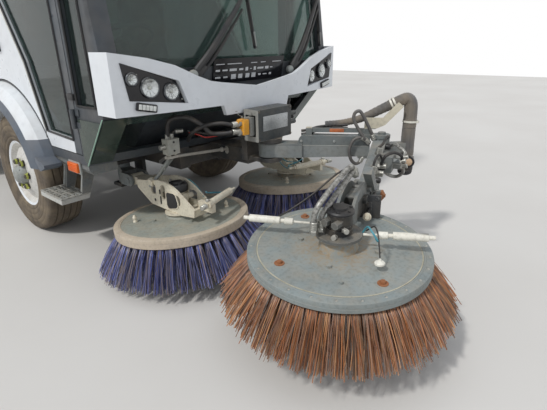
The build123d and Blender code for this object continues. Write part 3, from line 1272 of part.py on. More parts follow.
REAR_DOOR_THICK = 40
DOOR_AXIS_Y = HOPPER_REAR_Y + 30
DOOR_AXIS_Z = HOPPER_TOP_Z + 30
with BuildPart() as hopper_door:
    with BuildSketch(Plane.XZ.offset(-HOPPER_REAR_Y - CLEAR)):
        with BuildLine():
            Polyline(*(HOPPER_OUTLINE + [(-x, z) for x, z in HOPPER_OUTLINE[::-1]]), close=True)
        make_face()
    extrude(amount=-REAR_DOOR_THICK)
    with BuildSketch(Plane.XZ.offset(-HOPPER_REAR_Y - CLEAR - REAR_DOOR_THICK)):
        with Locations(*[(x, (HOPPER_SIDE_Z + HOPPER_TOP_Z) / 2 - 20) for x in (-500, 0, 500)]):
            Rectangle(60, 1180)
    extrude(amount=-15)
    for x in (-480, 480):
        with BuildSketch(Plane.YZ.offset(x - 12)):
            with BuildLine():
                Polyline((HOPPER_REAR_Y + CLEAR, HOPPER_TOP_Z - 60), (HOPPER_REAR_Y + 45, HOPPER_TOP_Z - 60),
                         (DOOR_AXIS_Y + 20, DOOR_AXIS_Z), (DOOR_AXIS_Y + 10, DOOR_AXIS_Z + 20),
                         (DOOR_AXIS_Y - 12, DOOR_AXIS_Z + 20), (DOOR_AXIS_Y - 24, DOOR_AXIS_Z), close=True)
            make_face()
        extrude(amount=24)
    with Locations(Location((0, DOOR_AXIS_Y, DOOR_AXIS_Z), (0, 90, 0))):
        Cylinder(12.05, 1200, mode=Mode.SUBTRACT)
save(hopper_door.part, "hopper_door")

# Tipping cylinder: the barrel swings on the frame, the rod carries the eye at the hopper
CYL_LENGTH = hypot(TIP_EYE_Y - TIP_BASE_Y, TIP_EYE_Z - TIP_BASE_Z)
CYL_DIR = (0, (TIP_EYE_Y - TIP_BASE_Y) / CYL_LENGTH, (TIP_EYE_Z - TIP_BASE_Z) / CYL_LENGTH)
CYL_PLANE = Plane(origin=(0, TIP_BASE_Y, TIP_BASE_Z), x_dir=(1, 0, 0), z_dir=CYL_DIR)
ROD_RADIUS = 22
BARREL_LENGTH = CYL_LENGTH - 70
with BuildPart() as barrel:
    with Locations(Location((0, TIP_BASE_Y, TIP_BASE_Z), (0, 90, 0))):
        Cylinder(32, 96)
    with BuildSketch(CYL_PLANE):
        Circle(BARREL_RADIUS)
    extrude(amount=BARREL_LENGTH)
    with BuildSketch(CYL_PLANE.offset(60)):
        Circle(ROD_RADIUS + 0.3)
    extrude(amount=BARREL_LENGTH, mode=Mode.SUBTRACT)
    with Locations(Location((0, TIP_BASE_Y, TIP_BASE_Z), (0, 90, 0))):
        Cylinder(15.05, 96, mode=Mode.SUBTRACT)
save(barrel.part, "tip_barrel")
with BuildPart() as rod:
    with BuildSketch(CYL_PLANE.offset(64)):
        Circle(ROD_RADIUS)
    extrude(amount=CYL_LENGTH - 64 - 24)
    with Locations(Location((0, TIP_EYE_Y, TIP_EYE_Z), (0, 90, 0))):
        Cylinder(26, 44)
        Cylinder(11, 2 * (EYE_LUG_X - 7 - SEAT_GAP))
save(rod.part, "tip_rod")

# Suction mouth and duct between the axles
with BuildPart() as suction:
    with BuildSketch(Plane.XY.offset(30)):
        with Locations((0, DUCT_Y)):
            Rectangle(660, 300)
    with BuildSketch(Plane.XY.offset(230)):
        with Locations((0, DUCT_Y)):
            Rectangle(2 * DUCT_RADIUS - 6, 2 * DUCT_RADIUS - 6)
    loft(ruled=True)
    with BuildSketch(Plane.XY.offset(30)):
        with Locations((0, DUCT_Y)):
            Rectangle(640, 280)
    with BuildSketch(Plane.XY.offset(230)):
        with Locations((0, DUCT_Y)):
            Rectangle(2 * DUCT_RADIUS - 50, 2 * DUCT_RADIUS - 50)
    loft(ruled=True, mode=Mode.SUBTRACT)
    with BuildSketch(Plane.XY.offset(225)):
        with Locations((0, DUCT_Y)):
            Circle(DUCT_RADIUS)
            Rectangle(2 * DUCT_RADIUS - 80, 2 * DUCT_RADIUS - 80, mode=Mode.SUBTRACT)
    extrude(amount=8)
    with BuildSketch(Plane.XY.offset(230)):
        with Locations((0, DUCT_Y)):
            Circle(DUCT_RADIUS)
            Circle(DUCT_RADIUS - 8, mode=Mode.SUBTRACT)
    extrude(amount=HOPPER_KEEL_Z - SEAT_GAP - 230)
    for side in (-1, 1):
        with Locations((side * (RAIL_INNER + DUCT_RADIUS) / 2, DUCT_Y, RAIL_TOP - 60)):
            Box(RAIL_INNER - DUCT_RADIUS - 2 * SEAT_GAP, 60, 60)
save(suction.part, "suction_duct")

# Mirrors on the front pillars, wipers, beacon and rear lamps
with BuildPart() as mirrors:
    for side in (-1, 1):
        with Locations((side * (BODY_HALF + 145), ahead(-1120), 1620)):
            Box(170, 60, 340)
        with Locations((side * (BODY_HALF + 40), ahead(-1050), 1700)):
            Box(80, 24, 24)
        with Locations((side * (BODY_HALF + 68), ahead(-1080), 1700)):
            Box(24, 84, 24)
save(mirrors.part, "mirrors")

WIPER_PIVOT_X = 335
SCREEN_SLOPE = (CAB_SECTIONS[3][1] - CAB_SECTIONS[2][1]) / (CAB_SECTIONS[3][0] - CAB_SECTIONS[2][0])
with BuildPart() as wipers:
    for side in (-1, 1):
        with BuildSketch(Plane.XZ.offset(-ahead(-1170))):
            with Locations((side * WIPER_PIVOT_X, 990)):
                Circle(22)
        extrude(amount=95)
        add(CAB_OUTER, mode=Mode.SUBTRACT)
        lean = Plane(origin=(side * WIPER_PIVOT_X, ahead(-1240), 990), x_dir=(1, 0, 0), z_dir=(0, SCREEN_SLOPE, 1))
        with BuildSketch(lean):
            Rectangle(26, 12)
        extrude(amount=520)
        with BuildSketch(lean.offset(230)):
            with Locations((0, 12)):
                Rectangle(14, 24)
        extrude(amount=600)
save(wipers.part, "wipers")

with BuildPart() as beacon:
    with BuildSketch(Plane.XY.offset(CAB_ROOF_Z + ROOF_CAP_HEIGHT)):
        with Locations((0, ahead(60))):
            Circle(62)
    extrude(amount=30)
    with BuildSketch(Plane.XY.offset(CAB_ROOF_Z + ROOF_CAP_HEIGHT + 30)):
        with Locations((0, ahead(60))):
            Circle(56)
    extrude(amount=110, taper=5)
save(beacon.part, "beacon")

with BuildPart() as rear_lamps:
    for side in (-1, 1):
        with Locations((side * 660, ahead(2730) + 18, 425)):
            Box(200, 36, 90)
save(rear_lamps.part, "rear_lamps")
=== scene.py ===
import random
from math import cos, radians, sin, sqrt, tau

import bmesh
import bpy
from mathutils import Matrix, Vector


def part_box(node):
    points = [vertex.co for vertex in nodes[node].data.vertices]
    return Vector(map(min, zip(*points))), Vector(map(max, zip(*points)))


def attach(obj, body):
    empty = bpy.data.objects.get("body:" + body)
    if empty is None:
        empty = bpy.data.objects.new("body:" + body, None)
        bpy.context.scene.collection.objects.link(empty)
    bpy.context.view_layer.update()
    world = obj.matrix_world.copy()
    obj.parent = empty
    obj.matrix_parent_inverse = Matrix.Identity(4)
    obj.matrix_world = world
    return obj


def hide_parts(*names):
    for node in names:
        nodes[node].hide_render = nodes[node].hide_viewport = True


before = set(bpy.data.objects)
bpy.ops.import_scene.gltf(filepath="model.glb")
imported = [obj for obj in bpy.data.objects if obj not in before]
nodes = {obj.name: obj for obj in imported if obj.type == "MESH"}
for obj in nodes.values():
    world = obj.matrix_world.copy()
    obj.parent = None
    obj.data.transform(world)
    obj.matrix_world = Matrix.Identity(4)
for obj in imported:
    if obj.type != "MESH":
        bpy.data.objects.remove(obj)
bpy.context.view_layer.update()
random.seed(7)

PHOTO_WIDTH = 547
PHOTO_FOCAL = 419.43
SENSOR = 36
CAMERA_PLACE = (-1.702, -2.861, 1.120)  # from the ground under the front axle
CAMERA_YAW = radians(49.11)
CAMERA_PITCH = radians(21.16)
CAMERA_ROLL = radians(-0.885)
FLOOR_HALF = 14
SUN_FROM = (-0.62, 0.06, 0.78)
SUN_ENERGY = 1.75
SUN_WIDTH = radians(5)
SKY_COLOUR = (0.86, 0.91, 1.0, 1)
SKY_STRENGTH = 0.74

FRONT = (0, -1, 0)
BACK = (0, 1, 0)
OUT = (1, 0, 0)
UP = (0, 0, 1)
SIDES = (("l", 1), ("r", -1))
WIDE = 2000  # beyond the body on each side, in millimetres


def middle(node):
    """Centre of a node's box."""
    low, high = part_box(node)
    return (Vector(low) + Vector(high)) / 2


AXLE_Y = middle("tyre_front_l").y
DOOR_PROUD = 0.026
BODY_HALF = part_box("door_l")[1][0] - DOOR_PROUD
CAB_CORNERS = [(0.575, -0.905), (0.820, -1.115), (1.060, -1.165), (2.120, -1.020)]  # height, front edge at the sides
NOSE_BULGE = 0.060


def spot(x, ahead, z):
    """A point in metres from millimetres; ahead is measured from the front axle, rearwards positive."""
    return Vector((x / 1000, AXLE_Y + ahead / 1000, z / 1000))


def spots(*points):
    """Several such points."""
    return [spot(*point) for point in points]


def on_side(x, *points):
    """Points on an upright plane along the body, each given as ahead and height."""
    return [spot(x, ahead, z) for ahead, z in points]


def cab_front(x, z, proud=0.0):
    """The cab's bowed front face at x and height z, in metres, or a point proud of it."""
    for (low, front), (high, back) in zip(CAB_CORNERS, CAB_CORNERS[1:]):
        if z <= high:
            break
    edge = front + (back - front) * (z - low) / (high - low)
    bow = (BODY_HALF ** 2 + NOSE_BULGE ** 2) / (2 * NOSE_BULGE)
    return Vector((x, AXLE_Y + edge - NOSE_BULGE + bow - sqrt(bow * bow - x * x) - proud, z))


# Camera, floor and light

def make_camera():
    """The photograph's viewpoint, measured from the front axle."""
    data = bpy.data.cameras.new("camera")
    data.sensor_width = SENSOR
    data.lens = SENSOR * PHOTO_FOCAL / PHOTO_WIDTH
    data.clip_start = 0.05
    data.clip_end = 60
    camera = bpy.data.objects.new("camera", data)
    bpy.context.collection.objects.link(camera)
    forward = Vector((sin(CAMERA_YAW) * cos(CAMERA_PITCH), cos(CAMERA_YAW) * cos(CAMERA_PITCH), -sin(CAMERA_PITCH)))
    level = Vector((cos(CAMERA_YAW), -sin(CAMERA_YAW), 0))
    right = level * cos(CAMERA_ROLL) + level.cross(forward) * sin(CAMERA_ROLL)
    place = Matrix((right, right.cross(forward), -forward)).transposed().to_4x4()
    place.translation = Vector(CAMERA_PLACE) + Vector((0, AXLE_Y, 0))
    camera.matrix_world = place
    bpy.context.scene.camera = camera


def make_stage():
    """A pale floor that keeps the shadow."""
    mesh = bpy.data.meshes.new("floor")
    corners = [(x * FLOOR_HALF, y * FLOOR_HALF, 0) for x, y in ((-1, -1), (1, -1), (1, 1), (-1, 1))]
    mesh.from_pydata(corners, [], [(0, 1, 2, 3)])
    floor = bpy.data.objects.new("floor", mesh)
    bpy.context.collection.objects.link(floor)
    graph = Graph("floor_paint")
    stain = graph.spread(graph.noise(0.8, 5), 0.3, 0.75)
    graph.feed("Base Color", graph.mix(stain, (0.66, 0.635, 0.59, 1), (0.61, 0.58, 0.535, 1)))
    graph.feed("Roughness", 0.92)
    graph.feed("Specular IOR Level", 0.2)
    floor.data.materials.append(graph.material)


def make_light():
    """A pale sky with one large soft sun. A ray that sees the sky itself finds it white."""
    world = bpy.data.worlds.new("world")
    bpy.context.scene.world = world
    world.use_nodes = True
    tree = world.node_tree
    rays = tree.nodes.new("ShaderNodeLightPath").outputs
    seen = rays["Is Camera Ray"]
    for kind in ("Is Glossy Ray", "Is Transmission Ray"):
        either = tree.nodes.new("ShaderNodeMath")
        either.operation = "MAXIMUM"
        tree.links.new(seen, either.inputs[0])
        tree.links.new(rays[kind], either.inputs[1])
        seen = either.outputs[0]
    for socket, kind, (first, second, out), sky, shown in (
            ("Color", "RGBA", (6, 7, 2), SKY_COLOUR, (1, 1, 1, 1)),
            ("Strength", "FLOAT", (2, 3, 0), SKY_STRENGTH, 1.0)):
        blend = tree.nodes.new("ShaderNodeMix")
        blend.data_type = kind
        blend.inputs[first].default_value = sky
        blend.inputs[second].default_value = shown
        tree.links.new(seen, blend.inputs[0])
        tree.links.new(blend.outputs[out], tree.nodes["Background"].inputs[socket])
    sun = bpy.data.lights.new("sun", "SUN")
    sun.energy = SUN_ENERGY
    sun.angle = SUN_WIDTH
    lamp = bpy.data.objects.new("sun", sun)
    bpy.context.collection.objects.link(lamp)
    lamp.rotation_euler = Vector(SUN_FROM).to_track_quat("Z", "Y").to_euler()


# Materials

def tint(red, green, blue):
    """Display values from 0 to 255 as a linear colour."""
    parts = [v / 255 for v in (red, green, blue)]
    return tuple(c / 12.92 if c < 0.04 else ((c + 0.055) / 1.055) ** 2.4 for c in parts) + (1,)


def shade(colour, factor):
    """A lighter or darker version of a colour."""
    return tuple(min(1, c * factor) for c in colour[:3]) + (1,)


DUST = tint(176, 158, 132)
RUST = tint(140, 84, 48)
STEEL = tint(168, 168, 162)
SOOT = (0.02, 0.02, 0.02, 1)
WHITE = tint(224, 227, 228)
SLATE = tint(84, 94, 106)
PLASTIC = tint(66, 72, 78)


class Graph:
    """Shader nodes of one material, wired by short calls."""

    def __init__(self, name):
        self.material = bpy.data.materials.new(name)
        self.material.use_nodes = True
        self.tree = self.material.node_tree
        self.shader = self.tree.nodes["Principled BSDF"]
        coordinates = self.node("ShaderNodeTexCoord")
        self.place = coordinates.outputs["Object"]
        self.normal = coordinates.outputs["Normal"]

    def node(self, kind, inputs=None, **settings):
        made = self.tree.nodes.new(kind)
        for key, value in settings.items():
            setattr(made, key, value)
        for key, value in (inputs or {}).items():
            self.wire(value, made.inputs[key])
        return made

    def wire(self, value, socket):
        if isinstance(value, bpy.types.NodeSocket):
            self.tree.links.new(value, socket)
        else:
            socket.default_value = value

    def feed(self, name, value):
        self.wire(value, self.shader.inputs[name])

    def bump(self, height, distance, strength):
        inputs = {"Height": height, "Distance": distance, "Strength": strength}
        self.feed("Normal", self.node("ShaderNodeBump", inputs).outputs[0])

    def noise(self, scale, detail=4, squeeze=None):
        at = self.place
        if squeeze:
            at = self.node("ShaderNodeMapping", {"Vector": at, "Scale": squeeze}).outputs[0]
        return self.node("ShaderNodeTexNoise", {"Vector": at, "Scale": scale, "Detail": detail}).outputs[0]

    def spread(self, value, low, high, bottom=0.0, top=1.0):
        """Maps low..high to bottom..top and clamps."""
        inputs = {"Value": value, "From Min": low, "From Max": high, "To Min": bottom, "To Max": top}
        return self.node("ShaderNodeMapRange", inputs).outputs[0]

    def maths(self, kind, first, second=0.0):
        return self.node("ShaderNodeMath", {0: first, 1: second}, operation=kind).outputs[0]

    def mix(self, factor, first, second):
        return self.node("ShaderNodeMix", {0: factor, 6: first, 7: second}, data_type="RGBA").outputs[2]

    def vector(self, kind, first, second=None):
        inputs = {0: first} if second is None else {0: first, 1: second}
        made = self.node("ShaderNodeVectorMath", inputs, operation=kind)
        return made.outputs["Value" if kind in ("LENGTH", "DOT_PRODUCT") else "Vector"]

    def near_line(self, origin, heading, radius, soft=0.001):
        """Mask of what lies within a radius of a line."""
        away = self.vector("SUBTRACT", self.place, tuple(origin))
        across = self.vector("CROSS_PRODUCT", away, tuple(Vector(heading).normalized()))
        return self.spread(self.vector("LENGTH", across), radius + soft, radius)

    def near_point(self, origin, inner, outer):
        """Mask that fades from an inner to an outer distance."""
        away = self.vector("SUBTRACT", self.place, tuple(origin))
        return self.spread(self.vector("LENGTH", away), outer, inner)

    def in_box(self, low, high):
        """Mask of what lies in a box, given by two corners as spot takes them."""
        low, high = spots(low, high)
        away = self.vector("ABSOLUTE", self.vector("SUBTRACT", self.place, tuple((low + high) / 2)))
        past = self.vector("SUBTRACT", away, tuple((high - low) / 2))
        apart = self.node("ShaderNodeSeparateXYZ", {0: past}).outputs
        worst = self.maths("MAXIMUM", self.maths("MAXIMUM", apart[0], apart[1]), apart[2])
        return self.spread(worst, 0.001, 0.0)


def surface(name, colour, rough=0.5, metal=0.0, blotch=0.14, size=5, dust=0.3, dirt=DUST, grain=0.0003, fine=240,
            wear=0.0, bare=STEEL, zones=(), grime=0.5):
    """A used surface: blotches, dust that lies on top, worn edges, fine grain, and zones of another colour.

    A zone is the name of a mask, what the mask takes, a colour and, for a patchy one, its strength.
    """
    graph = Graph(name)
    big = graph.noise(size, 5)
    small = graph.noise(size * 9, 5)
    patches = graph.spread(big, 0.38, 0.66)
    base = graph.mix(patches, colour, shade(colour, 1 - blotch))
    for kind, where, other, *strength in zones:
        mask = getattr(graph, kind)(*where)
        if strength:
            mask = graph.maths("MULTIPLY", mask, graph.spread(small, 0.42, 0.62, 0.15, *strength))
        base = graph.mix(mask, base, graph.mix(patches, other, shade(other, 1 - blotch)))
    base = graph.mix(graph.spread(small, 0.48, 0.75, 0, grime), base, graph.mix(0.5, base, SOOT))
    roughness = graph.spread(small, 0.3, 0.7, max(0.03, rough - 0.08), min(1, rough + 0.12))
    if wear:
        bevel = graph.node("ShaderNodeBevel", {"Radius": 0.004}, samples=4)
        geometry = graph.node("ShaderNodeNewGeometry")
        turn = graph.vector("DOT_PRODUCT", bevel.outputs[0], geometry.outputs["Normal"])
        edge = graph.spread(turn, 0.992, 0.9)
        base = graph.mix(graph.maths("MULTIPLY", edge, graph.spread(small, 0.40, 0.6, 0, wear)), base, bare)
    if dust:
        up = graph.node("ShaderNodeSeparateXYZ", {0: graph.normal}).outputs[2]
        lying = graph.spread(up, -0.3, 0.95, 0.25, 1)
        amount = graph.maths("MULTIPLY", lying, graph.spread(graph.noise(size * 2.3, 7), 0.36, 0.7, 0, dust))
        base = graph.mix(amount, base, dirt)
        roughness = graph.maths("ADD", roughness, graph.maths("MULTIPLY", amount, 0.35))
    graph.feed("Base Color", base)
    graph.feed("Roughness", roughness)
    graph.feed("Metallic", metal)
    graph.bump(graph.noise(fine, 3), grain, 0.7)
    return graph.material


def glass(name, colour, rough=0.03, clear=0.9):
    """Tinted glass with a film of dust."""
    graph = Graph(name)
    film = graph.spread(graph.noise(4, 6), 0.42, 0.75, 0, 0.22)
    graph.feed("Base Color", graph.mix(film, colour, shade(DUST, 0.8)))
    graph.feed("Roughness", graph.spread(graph.noise(14, 5), 0.4, 0.75, rough, rough + 0.08))
    graph.feed("Transmission Weight", clear)
    graph.feed("IOR", 1.42)
    graph.bump(graph.noise(3, 2), 0.0006, 0.3)
    return graph.material


def tine_paint(name, stops, dusty):
    """A colour of its own for each tine, with grime towards the tips."""
    graph = Graph(name)
    each = graph.node("ShaderNodeNewGeometry").outputs["Random Per Island"]
    ramp = graph.node("ShaderNodeValToRGB", {"Fac": each})
    points = ramp.color_ramp.elements
    points[0].position = 0
    points[0].color = stops[0]
    points[1].position = 1
    points[1].color = stops[-1]
    for index, colour in enumerate(stops[1:-1], 1):
        points.new(index / (len(stops) - 1)).color = colour
    streak = graph.spread(graph.noise(60, 4, (1, 1, 0.15)), 0.4, 0.7, 0, dusty)
    base = graph.mix(streak, ramp.outputs[0], shade(DUST, 0.75))
    height = graph.node("ShaderNodeSeparateXYZ", {0: graph.place}).outputs[2]
    tips = graph.maths("MULTIPLY", graph.spread(height, 0.10, 0.0, 0, 0.45),
                       graph.spread(graph.noise(30, 3), 0.4, 0.6))
    graph.feed("Base Color", graph.mix(tips, base, shade(DUST, 0.7)))
    graph.feed("Roughness", graph.spread(each, 0, 1, 0.38, 0.62))
    graph.bump(graph.noise(500, 2), 0.0003, 0.5)
    return graph.material


def woven(name, colour, rough, pitch):
    """Cloth: two crossed sets of threads, with worn patches."""
    graph = Graph(name)
    waves = []
    for squeeze in ((1, 0.4, 0.2), (0.2, 0.4, 1)):
        at = graph.node("ShaderNodeMapping", {"Vector": graph.place, "Scale": squeeze}).outputs[0]
        waves.append(graph.node("ShaderNodeTexWave", {"Vector": at, "Scale": pitch, "Distortion": 0.6}).outputs[1])
    weave = graph.maths("MULTIPLY", *waves)
    worn = graph.spread(graph.noise(7, 6), 0.4, 0.7, 0, 0.55)
    base = graph.mix(weave, shade(colour, 0.7), shade(colour, 1.15))
    graph.feed("Base Color", graph.mix(worn, base, shade(DUST, 0.8)))
    graph.feed("Roughness", graph.spread(weave, 0, 1, rough, min(1, rough + 0.1)))
    graph.feed("Sheen Weight", 0.3)
    graph.bump(weave, 0.0008, 0.8)
    return graph.material


# Mesh building

def standing(centre, facing=UP, towards=OUT):
    """A frame at a centre whose own Z follows facing and whose X leans towards a direction."""
    z = Vector(facing).normalized()
    x = Vector(towards)
    if abs(x.dot(z)) > 0.999:
        x = Vector(BACK)
    x = (x - z * x.dot(z)).normalized()
    made = Matrix((x, z.cross(x), z)).transposed().to_4x4()
    made.translation = centre
    return made


def stand(x, ahead, z, facing=UP, towards=OUT):
    """The same at a point in millimetres."""
    return standing(spot(x, ahead, z), facing, towards)


def moved(at, x, y, z):
    """A frame moved along its own axes."""
    return at @ Matrix.Translation((x, y, z))


def around(at, radius, spin, rise=0.0):
    """A frame moved outwards at an angle about its own Z."""
    return moved(at, cos(spin) * radius, sin(spin) * radius, rise)


def smooth_path(points, steps):
    """A rounded line through the points."""
    points = [Vector(p) for p in points]
    if len(points) < 3:
        return points
    ends = [points[0] * 2 - points[1]] + points + [points[-1] * 2 - points[-2]]
    line = []
    for a, b, c, d in zip(ends, ends[1:], ends[2:], ends[3:]):
        for i in range(steps):
            t = i / steps
            bend = 2 * a - 5 * b + 4 * c - d
            line.append(0.5 * (2 * b + (c - a) * t + bend * t * t + (3 * b - a - 3 * c + d) * t ** 3))
    return line + [points[-1]]


class Shape:
    """Mesh parts gathered into one piece, all in metres."""

    def __init__(self):
        self.mesh = bmesh.new()

    def skin(self, rings, closed=True, caps=True):
        """Quads between rings of points."""
        rows = [[self.mesh.verts.new(p) for p in ring] for ring in rings]
        for low, high in zip(rows, rows[1:]):
            count = len(low)
            for i in range(count if closed else count - 1):
                self.mesh.faces.new((low[i], low[(i + 1) % count], high[(i + 1) % count], high[i]))
        if caps:
            self.mesh.faces.new(rows[0][::-1])
            self.mesh.faces.new(rows[-1])

    def lathe(self, profile, at, sides=48, loop=False):
        """Turns (radius, height) points about the frame's Z; a loop closes on itself."""
        if loop:
            profile = profile + profile[:1]
        spins = [tau * i / sides for i in range(sides)]
        rings = [[at @ Vector((max(r, 1e-4) * cos(a), max(r, 1e-4) * sin(a), z)) for a in spins] for r, z in profile]
        self.skin(rings, caps=not loop)
        if loop:
            bmesh.ops.remove_doubles(self.mesh, verts=self.mesh.verts, dist=1e-7)

    def tube(self, points, radius, sides=10, rounded=True, ripple=None, steps=8):
        """A round tube along points; radius is one number or a list spread from start to end."""
        line = smooth_path(points, steps) if rounded else [Vector(p) for p in points]
        sizes = list(radius) if isinstance(radius, (list, tuple)) else [radius, radius]
        aside = Vector((0.31, 0.17, 0.93))
        rings = []
        for i, point in enumerate(line):
            ahead = (line[min(i + 1, len(line) - 1)] - line[max(i - 1, 0)]).normalized()
            aside = (aside - ahead * aside.dot(ahead)).normalized()
            over = ahead.cross(aside)
            along = i / (len(line) - 1) * (len(sizes) - 1)
            low = min(int(along), len(sizes) - 2)
            size = sizes[low] + (sizes[low + 1] - sizes[low]) * (along - low)
            if ripple:
                size += ripple * (1 if i % 2 else -1) * random.uniform(0.4, 1.0)
            spins = [tau * s / sides for s in range(sides)]
            rings.append([point + size * (aside * cos(spin) + over * sin(spin)) for spin in spins])
        self.skin(rings)

    def rod(self, points, radius, sides=8):
        """A tube with sharp bends."""
        self.tube(points, radius, sides, rounded=False)

    def bolt(self, at, radius, height, sides=6):
        """A chamfered head, hexagonal unless told otherwise."""
        self.lathe([(radius, 0), (radius, height * 0.75), (radius * 0.82, height)], at, sides)

    def block(self, at, size, bevel=0.002):
        """A block with bevelled edges."""
        made = bmesh.ops.create_cube(self.mesh, size=1, matrix=at @ Matrix.Diagonal((*size, 1)))
        edges = {edge for vert in made["verts"] for edge in vert.link_edges}
        bmesh.ops.bevel(self.mesh, geom=list(edges), offset=bevel, segments=2, affect="EDGES", profile=0.6)

    def plate(self, outline, thick):
        """A flat or bowed plate from an outline of points, thickened along a vector."""
        self.skin([outline, [p + Vector(thick) for p in outline]])

    def ferrule(self, foot, heading, radius=0.0125, length=0.034):
        """A crimped hose end: a swaged barrel behind a hexagon."""
        upright = abs(Vector(heading).normalized().z) >= 0.9
        at = standing(foot, heading, OUT if upright else (0.3, 0.2, 0.9))
        self.bolt(at, radius * 1.12, length * 0.32)
        grooves = [(radius, length * 0.32)]
        for i in range(3):
            z = length * (0.42 + 0.16 * i)
            grooves += [(radius, z), (radius * 0.9, z + length * 0.03), (radius, z + length * 0.06)]
        self.lathe(grooves + [(radius, length * 0.95), (radius * 0.85, length)], at, 16)

    def done(self, name, body, finish, slot, *replaced, crisp=35):
        """Makes the piece, which rides on a body and may stand for CAD nodes.

        A star in the name makes two, the second one mirrored, and stands for the side's letter in every word.
        """
        for side, sign in SIDES if "*" in name else (("", 1),):
            made = self.mesh.copy()
            if sign < 0:
                bmesh.ops.scale(made, vec=(-1, 1, 1), verts=made.verts)
            bmesh.ops.recalc_face_normals(made, faces=made.faces)
            words = [word.replace("*", side) for word in (name, body, slot, *replaced)]
            mesh = bpy.data.meshes.new(words[0])
            made.to_mesh(mesh)
            made.free()
            finish_piece(mesh, finish, crisp, *words)
        self.mesh.free()


def finish_piece(mesh, finish, crisp, name, body, slot, *replaced):
    """Links a mesh as a piece with smooth shading, its material and body; the slot it is given is not used."""
    piece = bpy.data.objects.new(name, mesh)
    bpy.context.collection.objects.link(piece)
    mesh.materials.append(PAINTS[finish])
    mesh.shade_smooth()
    mesh.set_sharp_from_angle(angle=radians(crisp))
    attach(piece, body)
    if replaced:
        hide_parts(*replaced)


def brush(centre, lean, **values):
    """A brush's sizes and finishes, with the frame at the middle of its plate's top, Z along the spin axis."""
    x, y = (sin(radians(angle)) for angle in lean)
    return dict(values, at=stand(*centre, (x, y, 1)))


CHANNEL = brush((459, -1140, 276), (1.1, 5.0), disc=350, tip=448, depth=222, height=46, inmost=4, rivets=0, bunch=0.5,
                ring="ring_tan", tines="blue_tines", slot="blue_black_tines")
THIRD = brush((-451, -2102, 388), (-3.3, -2.7), disc=350, tip=455, depth=205, height=38, inmost=-WIDE, rivets=26,
              bunch=0.22, ring="ring_grey", tines="brown_tines", slot="brown_tines")
CHANNEL_AT = CHANNEL["at"]
THIRD_AT = THIRD["at"]
THIRD_AXIS = THIRD_AT.col[2].xyz
DAMPER_RISE = 0.062


def frame_zones():
    """Bare valve blocks with their bases and bars on the painted frame."""
    beam = spot(0, -1100, 550)
    zones = []
    for side in (-1, 1):
        x = side * 456
        zones += [("in_box", ((x - 38, -1128, 592), (x + 38, -1072, 684)), tint(168, 168, 158)),
                  ("in_box", ((x - 30, -1130, 570), (x + 30, -1020, 600)), tint(190, 186, 172)),
                  ("near_line", (beam + Vector((side * 0.06, 0, 0)), (side * 390, 0, 32), 0.0155),
                   tint(178, 174, 164))]
    return zones


def third_zones():
    """Cream dampers, grey flange and dark motor on the third brush's head, and painted shade on the grey bracket's
    cheek.
    """
    zones = []
    for x, y, heading in ((30, -62, -62), (20, 72, 120)):
        turn = THIRD_AT.to_3x3() @ Vector((cos(radians(heading)), sin(radians(heading)), 0.03))
        zones.append(("near_line", (THIRD_AT @ Vector((x / 1000, y / 1000, DAMPER_RISE)), turn, 0.0175),
                      tint(236, 232, 218)))
    # The last box is painted shade: it darkens the grey bracket's cheek that faces away from the sun.
    return zones + [("near_line", (THIRD_AT.translation, THIRD_AXIS, 0.090), tint(96, 98, 96)),
                    ("near_line", (THIRD_AT.translation, THIRD_AXIS, 0.0515), tint(40, 42, 44)),
                    ("in_box", ((-300, -2250, 402), (-190, -2000, 520)), tint(50, 53, 54))]


